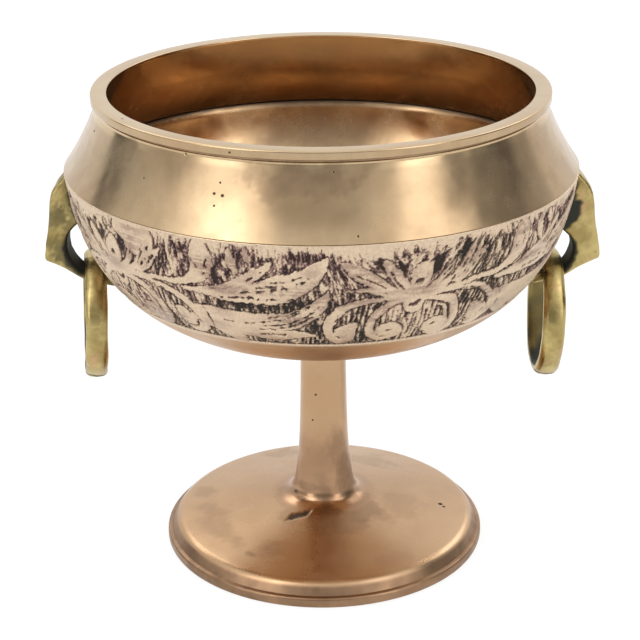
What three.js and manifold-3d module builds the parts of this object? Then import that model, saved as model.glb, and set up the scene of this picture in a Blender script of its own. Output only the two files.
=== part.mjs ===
// A footed brass bowl with two ring handles: a turned shoulder brazed to an etched basin,
// a stem and foot cast in one, and a cast lug on each side with a loose ring through its eye.
// Millimetres, +Z up. The origin is the centre of the foot's underside; the handles lie on X.
import * as THREE from "three";
import { mergeVertices } from "three/addons/utils/BufferGeometryUtils.js";
import Module from "manifold-3d";

const wasm = await Module();
wasm.setup();

// Facets round the turned pieces, round a ring, round each corner of its section, and along a curve
const TURNED_SEGMENTS = 60;
const RING_SEGMENTS = 40;
const SECTION_CORNER_STEPS = 2;
const CURVE_STEPS = 5;

// Rim and shoulder
const RIM_RADIUS = 55;
const RIM_FACE_WIDTH = 3.9;
const RIM_LIP_HEIGHT = 2;
const RIM_EDGE_BEVEL = 0.3;
const NECK_UNDERCUT = 1.3;
const NECK_GROOVE_HEIGHT = 0.7;
const NECK_LEDGE_WIDTH = 0.35;
const NECK_STRAIGHT = 0.5;
const SHOULDER_RISE = 18.6;
const SHOULDER_SPREAD = 7.2;
const SHOULDER_HOLLOW = 1.1;
const WALL = 2.4;
const LAP_HEIGHT = 1.6;
const LAP_CLEARANCE = 0.1;

// Basin: how full its side and bottom run, in shares of its width and depth
const BASIN_DEPTH = 43.6;
const BASIN_SIDE_DROP_SHARE = 0.71;
const BASIN_SIDE_DRAW_SHARE = 0.06;
const BASIN_BOTTOM_RUN_SHARE = 0.59;
const BASIN_BOTTOM_RISE_SHARE = 0.045;
const BASIN_SEAT_MARGIN = 0.4;
const BASIN_FLOOR_THICKNESS = 5;

// Stem and foot
const STEM_HEIGHT = 57.9;
const STEM_TOP_RADIUS = 5.75;
const STEM_WAIST_SWELL = 0.45;
const STEM_WAIST_SHARE = 0.5;
const STEM_FLARE = 5.6;
const FOOT_RADIUS = 41.1;
const FOOT_FLANGE_WIDTH = 1.2;
const FOOT_FLANGE_HEIGHT = 2.6;
const FOOT_STEP_RISE = 0.4;
const FOOT_RIDGE_INSET = 1.9;
const FOOT_RIDGE_RISE = 2.6;
const FOOT_RIDGE_ROUND = 1.4;
const FOOT_SLOPE_RISE = 5.2;
const FOOT_EDGE_BEVEL = 0.5;
const FOOT_LAND_WIDTH = 4.6;
const FOOT_RECESS_DRAFT = 0.8;
const FOOT_WALL = 2.4;
const FOOT_RECESS_TOP_RADIUS = 9;

// Stud that holds the basin on the stem
const STUD_RADIUS = 2.5;
const STUD_IN_STEM = 10;
const STUD_IN_BASIN = 3.5;
const STUD_CLEARANCE = 0.1;
const STUD_END_GAP = 0.4;
const STUD_BEVEL = 0.5;

// Lug: its square corner stands out beyond the bowl's widest edge and lies below it
const LUG_REACH = 6.4;
const LUG_HEIGHT = 24.9;
const LUG_WIDTH = 8.4;
const LUG_EDGE_BEVEL = 0.7;
const LUG_SEAT_GAP = 0.3;

// Ring: outside radius, and a section that is deep along the radius and wide along the axis.
// The left ring hangs turned and swung outwards, the right one turned less and swung inwards.
const RING_RADIUS = 16.35;
const RING_SECTION_DEPTH = 3.5;
const RING_SECTION_WIDTH = 5.7;
const RING_SECTION_ROUND = 1.7;
const RING_RUNNING_CLEARANCE = 0.25;
const LEFT_RING_TURN_DEG = 8.5;
const LEFT_RING_SWING_DEG = -2.5;
const RIGHT_RING_TURN_DEG = 1;
const RIGHT_RING_SWING_DEG = 2;

const SHOULDER_BRASS = 0xc6ab7c;
const ETCHED_BRASS = 0xd2b593;
const FOOT_BRASS = 0xb08a64;
const HANDLE_BRASS = 0xa59055;

const WIDEST_RADIUS = RIM_RADIUS + SHOULDER_SPREAD;
const WIDEST_HEIGHT = STEM_HEIGHT + BASIN_DEPTH;
const RIM_HEIGHT = WIDEST_HEIGHT + SHOULDER_RISE;
const LIP_BOTTOM = RIM_HEIGHT - RIM_LIP_HEIGHT;
const NECK_RADIUS = RIM_RADIUS - NECK_UNDERCUT;
const LEDGE_RADIUS = NECK_RADIUS + NECK_LEDGE_WIDTH;
const LEDGE_HEIGHT = LIP_BOTTOM - NECK_GROOVE_HEIGHT;
const SHOULDER_TOP = LEDGE_HEIGHT - NECK_STRAIGHT;
const MOUTH_RADIUS = RIM_RADIUS - RIM_FACE_WIDTH;
const LAP_RADIUS = WIDEST_RADIUS - WALL / 2;
const INSIDE_RADIUS = WIDEST_RADIUS - WALL;
const LAP_BOTTOM = WIDEST_HEIGHT - LAP_HEIGHT;
const STEM_WAIST_RADIUS = STEM_TOP_RADIUS + STEM_WAIST_SWELL;
const STEM_WAIST_HEIGHT = STEM_HEIGHT * STEM_WAIST_SHARE;
const STEM_FLARE_RADIUS = STEM_WAIST_RADIUS + STEM_FLARE;
const FOOT_STEP_RADIUS = FOOT_RADIUS - FOOT_FLANGE_WIDTH;
const FOOT_STEP_HEIGHT = FOOT_FLANGE_HEIGHT + FOOT_STEP_RISE;
const FOOT_RIDGE_RADIUS = FOOT_STEP_RADIUS - FOOT_RIDGE_INSET;
const FOOT_RIDGE_HEIGHT = FOOT_STEP_HEIGHT + FOOT_RIDGE_RISE;
const STEM_FLARE_HEIGHT = FOOT_RIDGE_HEIGHT + FOOT_SLOPE_RISE;
const STUD_BORE_RADIUS = STUD_RADIUS + STUD_CLEARANCE;

// The lug's side view. Each point is set out from the widest edge: outwards in shares of the lug's
// reach, and downwards in shares of its height.
const LUG_TOP = lugPoint(0.03, 0.108);
const LUG_BACK = [
  lugPoint(0.47, 0.245),
  lugPoint(0.64, 0.373),
  lugPoint(0.73, 0.582),
  lugPoint(0.89, 0.8),
  lugPoint(0.97, 0.904),
];
const LUG_CORNER = lugPoint(1.06, 1);
const LUG_UNDERSIDE = [
  lugPoint(0.84, 1.005),
  lugPoint(0.22, 1.08),
  lugPoint(-0.53, 1.197),
  lugPoint(-1.5, 1.262),
  lugPoint(-2.5, 1.3),
];
const EYE_FLOOR = [lugPoint(-1.6, 1.15), lugPoint(-0.74, 1.14), lugPoint(-0.28, 1.085)];
const EYE_BACK = [lugPoint(-0.02, 0.97), lugPoint(0.08, 0.84), lugPoint(-0.07, 0.7)];
const PAD_FOOT = lugPoint(-0.55, 0.605);
const PAD_INSIDE = lugPoint(-0.75, 0.108);
const ARM_INSIDE = lugPoint(-3.4, 1.31);

// A ring hangs over the middle of the eye's floor, high enough to clear the arm's edges and to let
// the section's corners pass when it swings
const RING_HANG_RADIUS = lugPoint(-0.87, 0).x;
const RING_INSIDE_RADIUS = RING_RADIUS - RING_SECTION_DEPTH;
const RING_MIDDLE_RADIUS = RING_RADIUS - RING_SECTION_DEPTH / 2;
const ARM_HALF_WIDTH = LUG_WIDTH / 2 - LUG_EDGE_BEVEL;
const RING_BULGE = RING_INSIDE_RADIUS - Math.sqrt(RING_INSIDE_RADIUS ** 2 - ARM_HALF_WIDTH ** 2);
const SECTION_CORNER_WIDTH = RING_SECTION_WIDTH / 2 - RING_SECTION_ROUND;
const SECTION_CORNER_DEPTH = RING_SECTION_DEPTH / 2 - RING_SECTION_ROUND;
const SECTION_REACH = Math.hypot(SECTION_CORNER_WIDTH, SECTION_CORNER_DEPTH) + RING_SECTION_ROUND;
const RING_NEED = Math.max(SECTION_REACH, RING_SECTION_DEPTH / 2 + RING_BULGE);
const RING_HANG_HEIGHT = EYE_FLOOR[1].y + RING_NEED + RING_RUNNING_CLEARANCE;

function point(radius, height) {
  return new THREE.Vector2(radius, height);
}

function lugPoint(out, down) {
  return point(WIDEST_RADIUS + LUG_REACH * out, WIDEST_HEIGHT - LUG_HEIGHT * down);
}

// The points of a curve after its first one
function along(curve, steps = CURVE_STEPS) {
  return curve.getPoints(steps).slice(1);
}

// A closed geometry as a solid that can be cut, and a solid as a geometry
function solidOf(geometry) {
  const bare = geometry.clone();
  bare.deleteAttribute("normal");
  bare.deleteAttribute("uv");
  const merged = mergeVertices(bare, 1e-4);
  const vertProperties = merged.attributes.position.array;
  const triVerts = new Uint32Array(merged.index.array);
  return new wasm.Manifold(new wasm.Mesh({ numProp: 3, vertProperties, triVerts }));
}

function geometryOf(solid) {
  const mesh = solid.getMesh();
  const geometry = new THREE.BufferGeometry();
  geometry.setAttribute("position", new THREE.BufferAttribute(mesh.vertProperties, 3));
  geometry.setIndex(new THREE.BufferAttribute(mesh.triVerts, 1));
  geometry.computeVertexNormals();
  return geometry;
}

// An outline of radius and height turned about +Z; it runs from axis to axis, or closes on itself
function turned(outline, segments = TURNED_SEGMENTS) {
  const profile = [...outline];
  if (THREE.ShapeUtils.area(profile) < 0) profile.reverse();
  if (profile[0].x > 0) profile.push(profile[0].clone());
  const geometry = new THREE.LatheGeometry(profile, segments);
  geometry.rotateX(Math.PI / 2);
  return solidOf(geometry);
}

// The slightly hollow run from a neck down to the widest edge
function shoulderCurve(neckRadius, neckHeight, edgeRadius) {
  const neck = point(neckRadius, neckHeight);
  const edge = point(edgeRadius, WIDEST_HEIGHT);
  const inward = edge.clone().sub(neck).normalize().rotateAround(point(0, 0), -Math.PI / 2);
  const middle = neck.clone().add(edge).multiplyScalar(0.5).addScaledVector(inward, SHOULDER_HOLLOW);
  return new THREE.QuadraticBezierCurve(neck, middle, edge);
}

// The basin's side from the widest edge down to the stem's seat, moved in by the wall
function basinCurve(wall, bottomHeight) {
  const width = WIDEST_RADIUS - STEM_TOP_RADIUS;
  const edge = WIDEST_RADIUS - wall;
  const sideEnd = WIDEST_HEIGHT - BASIN_DEPTH * BASIN_SIDE_DROP_SHARE + wall;
  const bottomStart = STEM_TOP_RADIUS + width * BASIN_BOTTOM_RUN_SHARE - wall;
  return new THREE.CubicBezierCurve(
    point(edge, WIDEST_HEIGHT),
    point(edge - width * BASIN_SIDE_DRAW_SHARE, sideEnd),
    point(bottomStart, bottomHeight + BASIN_DEPTH * BASIN_BOTTOM_RISE_SHARE),
    point(STEM_TOP_RADIUS + BASIN_SEAT_MARGIN, bottomHeight),
  );
}

// The outside, from the rim's face down to the widest edge, and on to the stem's seat
function shoulderOutside() {
  return [
    point(RIM_RADIUS - RIM_EDGE_BEVEL, RIM_HEIGHT),
    point(RIM_RADIUS, RIM_HEIGHT - RIM_EDGE_BEVEL),
    point(RIM_RADIUS, LIP_BOTTOM),
    point(NECK_RADIUS, LIP_BOTTOM),
    point(NECK_RADIUS, LEDGE_HEIGHT),
    point(LEDGE_RADIUS, LEDGE_HEIGHT),
    point(LEDGE_RADIUS, SHOULDER_TOP),
    ...along(shoulderCurve(LEDGE_RADIUS, SHOULDER_TOP, WIDEST_RADIUS)),
  ];
}

function basinOutside() {
  return along(basinCurve(0, STEM_HEIGHT), 2 * CURVE_STEPS);
}

// Collar from the rim to the widest edge; its tongue laps inside the basin's edge
function shoulder() {
  const insideTop = LEDGE_HEIGHT;
  const inside = shoulderCurve(MOUTH_RADIUS, insideTop, INSIDE_RADIUS).getPoints(CURVE_STEPS);
  return turned([
    ...shoulderOutside(),
    point(LAP_RADIUS, WIDEST_HEIGHT),
    point(LAP_RADIUS, LAP_BOTTOM),
    point(INSIDE_RADIUS, LAP_BOTTOM),
    ...inside.reverse(),
    point(MOUTH_RADIUS, RIM_HEIGHT - RIM_EDGE_BEVEL),
    point(MOUTH_RADIUS + RIM_EDGE_BEVEL, RIM_HEIGHT),
  ]);
}

function basin() {
  const floorHeight = STEM_HEIGHT + BASIN_FLOOR_THICKNESS;
  const boreTop = STEM_HEIGHT + STUD_IN_BASIN + STUD_END_GAP;
  const inside = basinCurve(WALL, floorHeight).getPoints(2 * CURVE_STEPS);
  return turned([
    point(0, floorHeight),
    ...inside.reverse().filter((p) => p.y < LAP_BOTTOM - 1),
    point(INSIDE_RADIUS, LAP_BOTTOM),
    point(LAP_RADIUS + LAP_CLEARANCE, LAP_BOTTOM),
    point(LAP_RADIUS + LAP_CLEARANCE, WIDEST_HEIGHT),
    point(WIDEST_RADIUS, WIDEST_HEIGHT),
    ...basinOutside(),
    point(STUD_BORE_RADIUS, STEM_HEIGHT),
    point(STUD_BORE_RADIUS, boreTop),
    point(0, boreTop),
  ]);
}

// Stem and foot in one casting, hollow under the foot
function pedestal() {
  const side = new THREE.QuadraticBezierCurve(
    point(STEM_TOP_RADIUS, STEM_HEIGHT),
    point(STEM_TOP_RADIUS, (STEM_HEIGHT + STEM_WAIST_HEIGHT) / 2),
    point(STEM_WAIST_RADIUS, STEM_WAIST_HEIGHT),
  );
  const flareFall = STEM_WAIST_HEIGHT - STEM_FLARE_HEIGHT;
  const flare = new THREE.CubicBezierCurve(
    point(STEM_WAIST_RADIUS, STEM_WAIST_HEIGHT),
    point(STEM_WAIST_RADIUS + STEM_FLARE * 0.09, STEM_WAIST_HEIGHT - flareFall * 0.6),
    point(STEM_FLARE_RADIUS - STEM_FLARE * 0.68, STEM_FLARE_HEIGHT + flareFall * 0.11),
    point(STEM_FLARE_RADIUS, STEM_FLARE_HEIGHT),
  );
  const landInside = FOOT_RADIUS - FOOT_LAND_WIDTH;
  const boreFloor = STEM_HEIGHT - STUD_IN_STEM - STUD_END_GAP;
  return turned([
    point(0, STEM_FLARE_HEIGHT - FOOT_WALL),
    point(FOOT_RECESS_TOP_RADIUS, STEM_FLARE_HEIGHT - FOOT_WALL),
    point(landInside - FOOT_RECESS_DRAFT, FOOT_RIDGE_HEIGHT - FOOT_WALL),
    point(landInside, 0),
    point(FOOT_RADIUS - FOOT_EDGE_BEVEL, 0),
    point(FOOT_RADIUS, FOOT_EDGE_BEVEL),
    point(FOOT_RADIUS, FOOT_FLANGE_HEIGHT - FOOT_EDGE_BEVEL),
    point(FOOT_RADIUS - FOOT_EDGE_BEVEL, FOOT_FLANGE_HEIGHT),
    point(FOOT_STEP_RADIUS, FOOT_STEP_HEIGHT),
    point(FOOT_RIDGE_RADIUS + FOOT_RIDGE_ROUND / 2, FOOT_RIDGE_HEIGHT - FOOT_RIDGE_ROUND / 2),
    point(FOOT_RIDGE_RADIUS - FOOT_RIDGE_ROUND / 2, FOOT_RIDGE_HEIGHT),
    ...flare.getPoints(2 * CURVE_STEPS).reverse(),
    ...side.getPoints(CURVE_STEPS).reverse().slice(1),
    point(STUD_BORE_RADIUS, STEM_HEIGHT),
    point(STUD_BORE_RADIUS, boreFloor),
    point(0, boreFloor),
  ]);
}

function stemStud() {
  const low = STEM_HEIGHT - STUD_IN_STEM;
  const high = STEM_HEIGHT + STUD_IN_BASIN;
  return turned([
    point(0, low),
    point(STUD_RADIUS - STUD_BEVEL, low),
    point(STUD_RADIUS, low + STUD_BEVEL),
    point(STUD_RADIUS, high - STUD_BEVEL),
    point(STUD_RADIUS - STUD_BEVEL, high),
    point(0, high),
  ]);
}

// The bowl without its hollow, grown by the lugs' seat gap
function lugSeat() {
  const shoulderLine = shoulderOutside().map((p) => point(p.x + LUG_SEAT_GAP, p.y));
  const basinLine = basinOutside().map((p) => point(p.x + LUG_SEAT_GAP, p.y - LUG_SEAT_GAP / 2));
  const bottom = STEM_HEIGHT - LUG_SEAT_GAP / 2;
  return turned([point(0, RIM_HEIGHT), ...shoulderLine, ...basinLine, point(0, bottom)]);
}

// Side view of a lug: the back drops from the shoulder to a square corner, the arm runs in under
// the basin, and the eye between arm and pad stays open towards the wall
function lugOutline() {
  const outline = new THREE.Shape();
  outline.moveTo(PAD_INSIDE.x, PAD_INSIDE.y);
  outline.lineTo(LUG_TOP.x, LUG_TOP.y);
  outline.splineThru(LUG_BACK);
  outline.quadraticCurveTo(LUG_CORNER.x, LUG_CORNER.y, LUG_UNDERSIDE[0].x, LUG_UNDERSIDE[0].y);
  outline.splineThru(LUG_UNDERSIDE.slice(1));
  outline.lineTo(ARM_INSIDE.x, ARM_INSIDE.y);
  outline.lineTo(ARM_INSIDE.x, EYE_FLOOR[0].y);
  outline.splineThru([...EYE_FLOOR, ...EYE_BACK, PAD_FOOT]);
  return outline;
}

function lug() {
  const depth = LUG_WIDTH - 2 * LUG_EDGE_BEVEL;
  const blank = new THREE.ExtrudeGeometry(lugOutline(), {
    depth,
    curveSegments: CURVE_STEPS - 1,
    bevelThickness: LUG_EDGE_BEVEL,
    bevelSize: LUG_EDGE_BEVEL,
    bevelOffset: -LUG_EDGE_BEVEL,
    bevelSegments: 2,
  });
  blank.translate(0, 0, -depth / 2);
  blank.rotateX(Math.PI / 2);
  return solidOf(blank).subtract(lugSeat());
}

// A ring that hangs below the origin, with its axis along X and a section with round corners
function ring() {
  const outline = [];
  for (let corner = 0; corner < 4; corner++) {
    const out = corner === 0 || corner === 3 ? 1 : -1;
    const up = corner < 2 ? 1 : -1;
    for (let step = 0; step <= SECTION_CORNER_STEPS; step++) {
      const angle = ((corner + step / SECTION_CORNER_STEPS) * Math.PI) / 2;
      outline.push(
        point(
          RING_MIDDLE_RADIUS + out * SECTION_CORNER_DEPTH + RING_SECTION_ROUND * Math.cos(angle),
          up * SECTION_CORNER_WIDTH + RING_SECTION_ROUND * Math.sin(angle),
        ),
      );
    }
  }
  return turned(outline, RING_SEGMENTS).rotate([0, 90, 0]).translate([0, 0, -RING_MIDDLE_RADIUS]);
}

function node(name, solid, colour, roughness) {
  const material = new THREE.MeshStandardMaterial({ color: colour, roughness, metalness: 1 });
  const mesh = new THREE.Mesh(geometryOf(solid), material);
  mesh.name = name;
  return mesh;
}

// A lug and the ring that hangs in its eye, on +X; the left pair is the same one turned half round
function handle(side, ringTurnDeg, ringSwingDeg) {
  const pair = new THREE.Group();
  const hoop = node(side + "_ring", ring(), HANDLE_BRASS, 0.35);
  const swing = THREE.MathUtils.degToRad(ringSwingDeg);
  const turn = THREE.MathUtils.degToRad(ringTurnDeg);
  hoop.position.set(RING_HANG_RADIUS, 0, RING_HANG_HEIGHT);
  hoop.rotation.set(0, swing, turn, "ZYX");
  pair.add(node(side + "_lug", lug(), HANDLE_BRASS, 0.4), hoop);
  if (side === "left") pair.rotation.z = Math.PI;
  return pair;
}

const bowl = new THREE.Group();
bowl.add(node("shoulder", shoulder(), SHOULDER_BRASS, 0.3));
bowl.add(node("basin", basin(), ETCHED_BRASS, 0.5));
bowl.add(node("pedestal", pedestal(), FOOT_BRASS, 0.35));
bowl.add(node("stem_stud", stemStud(), FOOT_BRASS, 0.4));
bowl.add(handle("left", LEFT_RING_TURN_DEG, LEFT_RING_SWING_DEG));
bowl.add(handle("right", RIGHT_RING_TURN_DEG, RIGHT_RING_SWING_DEG));

export default bowl;
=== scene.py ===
# Looks of the footed brass bowl: a polished shoulder over an etched leaf-scroll band,
# a plain stem and foot, and cast lugs with loose rings, on a white studio floor.
import math

import bpy
import numpy as np
from mathutils import Euler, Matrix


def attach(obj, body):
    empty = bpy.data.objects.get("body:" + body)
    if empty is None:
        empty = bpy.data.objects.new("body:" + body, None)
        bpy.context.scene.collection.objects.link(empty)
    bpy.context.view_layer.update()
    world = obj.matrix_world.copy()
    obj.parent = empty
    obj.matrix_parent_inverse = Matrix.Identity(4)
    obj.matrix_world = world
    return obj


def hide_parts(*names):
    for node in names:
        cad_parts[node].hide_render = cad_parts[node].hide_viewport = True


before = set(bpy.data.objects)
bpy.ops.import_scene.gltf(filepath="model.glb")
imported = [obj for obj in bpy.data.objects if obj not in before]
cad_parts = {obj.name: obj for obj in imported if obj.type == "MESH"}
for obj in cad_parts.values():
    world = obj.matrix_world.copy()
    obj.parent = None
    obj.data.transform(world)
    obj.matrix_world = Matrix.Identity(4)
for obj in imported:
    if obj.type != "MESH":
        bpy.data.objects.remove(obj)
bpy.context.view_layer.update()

MM = 0.001

# Camera, at the photograph's viewing angle
CAMERA_ASIDE = 0.0025
CAMERA_BACK = 0.4123
CAMERA_HEIGHT = 0.2291
CAMERA_TILT_DOWN_DEG = 22.4
CAMERA_ROLL_DEG = -0.3
CAMERA_LENS = 99.4
CAMERA_SHIFT_X = -0.02

# Sizes of the bowl in millimetres. The stem's flare and the lugs' eyes differ a little from the
# solids; the other sizes are the same.
RIM_HEIGHT = 120.1
RIM_RADIUS = 55
RIM_FACE_WIDTH = 3.9
LIP_BOTTOM = 118.1
NECK_RADIUS = 53.7
LEDGE_RADIUS = 54.05
LEDGE_HEIGHT = 117.4
SHOULDER_TOP = 116.9
SHOULDER_HOLLOW = 1.1
WIDEST_RADIUS = 62.2
WIDEST_HEIGHT = 101.5
WALL = 2.4
LAP_HEIGHT = 1.6
LAP_BOTTOM = WIDEST_HEIGHT - LAP_HEIGHT
SEAT_HEIGHT = 57.9
SEAT_RADIUS = 6.15
FLOOR_THICKNESS = 5
SEAM = 0.3
BAND_WIDTH = 31
BAND_THICKNESS = 0.9
BAND_DEPTH = 0.45
STEM_TOP_RADIUS = 5.75
STEM_WAIST_RADIUS = 6.2
STEM_WAIST_HEIGHT = 29
STEM_FLARE_RADIUS = 11.8
STEM_FLARE_HEIGHT = 10.8
FOOT_RIDGE_RADIUS = 38.2
FOOT_RIDGE_HEIGHT = 5.6
FOOT_STEP_RADIUS = 39.9
FOOT_STEP_HEIGHT = 2.8
FOOT_RADIUS = 41.1
FOOT_FLANGE_HEIGHT = 2.6
FOOT_LAND_WIDTH = 4.6
FOOT_WALL = 2.4
STUD_BORE_RADIUS = 2.6
STUD_BORE_DEPTH = 10.4
RING_RADIUS = 16.35
RING_SECTION_DEPTH = 3.5
RING_SECTION_WIDTH = 5.7
RING_SECTION_ROUND = 1.5
RING_HANG_RADIUS = 56.632
RING_HANG_HEIGHT = 76.215
LUG_WIDTH = 8.4
LUG_EDGE_ROUND = 1.1
# The basin's curve: how far in and down its side is drawn, how far out and up its belly
BASIN_SIDE_IN = 3.4
BASIN_SIDE_DROP = 31
BASIN_BELLY_REACH = 33.4
BASIN_BELLY_RISE = 2
BASIN_OUTSIDE_LENGTH = 78.5
BASIN_STUD_HOLE = 3.9

# How finely the meshes are made, and how much of a side a corner's rounding may take
CORNER_SHARE = 0.45
TURNED_SEGMENTS = 480
RING_SEGMENTS = 160
SHARP_DEG = 40
LUG_GRID = 0.28
LUG_SMOOTHING = 4
SLOPE_ROWS = 90
ROWS_IN_RIDGE = 12
ROWS_IN_FILLET = 7
BAND_COLUMNS = 1800
BAND_ROWS = 156
BAND_BACK_STEP = 12
BAND_REPEATS = 5
REPEAT_DEG = 360 / BAND_REPEATS
REPEAT_START_DEG = -33

# The ornament of one repeat. Each stroke is a line of points: angle in degrees from the front,
# drop in millimetres below the widest edge, and half the stroke's width there.
PETALS = [
    [(20.8, 13.5, .6), (20.9, 11.8, 1.7), (21.2, 9.3, 2.6), (21.6, 7.2, 1.8), (21.9, 5.5, .3)],
    [(20, 13.3, .8), (17.5, 11.3, 1.5), (15.2, 8.2, 1.5), (13.6, 5.3, .9), (13.2, 4.3, .2)],
    [(18.5, 14, .9), (14.5, 12.3, 1.1), (11.5, 10.2, 1.6), (8.3, 7.6, 1.7), (5.8, 5.8, 1.1),
     (4.4, 4.5, .3)],
    [(17.5, 14.4, .6), (14, 13.5, .6), (11, 12.1, .9), (8, 11.6, .5), (5.4, 11.3, .15)],
    [(22, 13, .5), (25, 11.2, .7), (27, 9, .9), (28.3, 6.8, .5), (28.7, 6, .1)],
    [(23.5, 13, .9), (27, 12, 1), (30, 9.5, 1), (32.2, 5.8, .9), (33.2, 3, .5), (33.6, 1.8, .1)],
    [(26, 13.3, .8), (30.5, 11.5, .9), (33.3, 8.8, 1), (35.3, 6, .9), (36.9, 4.5, .3)],
    [(31.5, 9.5, .3), (33.8, 6.5, .5), (34.9, 3.8, .6), (35.1, 1.8, .2)],
    [(17, 14.2, .7), (20.5, 14.2, 1), (24.5, 13.8, .9), (29, 13.4, .9), (33, 13.3, .7)],
    [(20.3, 16, 2.5), (20.3, 17.2, 2.2)],
]
SCROLLS = [
    [(19, 15, .6), (15.4, 16, 1), (12.3, 19, 1.15), (11.1, 22.5, 1.1), (11.7, 26, 1.2),
     (13.8, 28, 1.1), (16.4, 28, .8)],
    [(14.9, 25.5, 3.1), (15.8, 25.4, 3.2)],
    [(22, 15, .5), (26, 15.6, .9), (29.3, 17.3, 1.1), (31.6, 20.6, 1.2), (32.4, 24.5, 1.2),
     (31.2, 27.8, 1.1), (28.6, 29, .9), (26, 28, .6)],
    [(27.2, 25.4, 3.1), (28, 25.4, 3.3)],
    [(17, 14.7, .5), (12, 14.6, .7), (7.5, 15.3, .9), (4, 17.2, 1.2), (1.9, 20.5, 1.3), (1.5, 24, 1.3),
     (2.7, 27, 1.2), (5, 28.1, 1), (7.2, 27.2, .8)],
    [(6.9, 22.5, 1.4), (5.4, 24.8, 3.1)],
    [(27, 13.9, .5), (32, 14.6, .8), (37, 15.6, 1.1), (41, 18.3, 1.3), (43.2, 22, 1.3),
     (43, 25.8, 1.3), (41, 28.3, 1.1), (38.2, 28.2, .8)],
    [(37.9, 21.6, 1.6), (39.6, 24.3, 3.7)],
    [(27, 18, .4), (28.9, 19.6, .6), (29.9, 22.5, .6)],
]
SPRAY = [
    [(-39, 12.8, .7), (-34, 12.5, .8), (-30, 11.6, 1), (-27, 10, 1.7), (-25.2, 7.5, 2.4),
     (-25, 4.8, 2.6), (-25.3, 2.5, 2), (-25.5, 1, 1)],
    [(-31, 13.6, .5), (-25, 13.7, 1.2), (-19, 13.5, 2), (-13, 12.6, 3), (-8, 11, 3.5), (-4, 8.6, 2.7),
     (-1.3, 6.2, 1.9), (.3, 4.2, 1), (1.2, 2.9, .2)],
    [(-20, 12.2, .5), (-16, 9.9, 1), (-12.5, 7.2, 1.1), (-10.3, 4.9, .7), (-9.8, 3.9, .2)],
    [(-25, 12.6, .3), (-20, 11, .7), (-15.5, 8.3, .8), (-13, 6.2, .4)],
    [(-18.8, 1.8, .4), (-18.5, 4, 1.1), (-17.8, 6.5, 1), (-17, 8.2, .3)],
    [(-15.2, 1.2, .5), (-14.8, 3, .8), (-14.2, 4.8, .3)],
    [(-31, 19, .8), (-26, 20.3, 2.4), (-20, 21.3, 3), (-13, 21.4, 3.1), (-7, 20.4, 2.8),
     (-3.2, 18.2, 2.3), (-.8, 15.7, 1.7), (.6, 13.4, 1), (1.2, 11.2, .2)],
    [(-28, 22.8, 1.5), (-23, 24.2, 1.8), (-18, 25, 2.2)],
    [(-17, 25.6, 1.2), (-13, 25.8, 1.9), (-8.5, 25.6, 2), (-4.8, 25.3, 1.3), (-1.8, 25.7, .3)],
    [(-21, 23, 2.5), (-20.5, 26, 2.3), (-19.5, 28.5, 1.2), (-19, 31, 1)],
    [(-31, 23.6, .6), (-26.5, 25, 1), (-22.5, 27.6, 1.2), (-19.5, 30.3, 1)],
]
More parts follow.
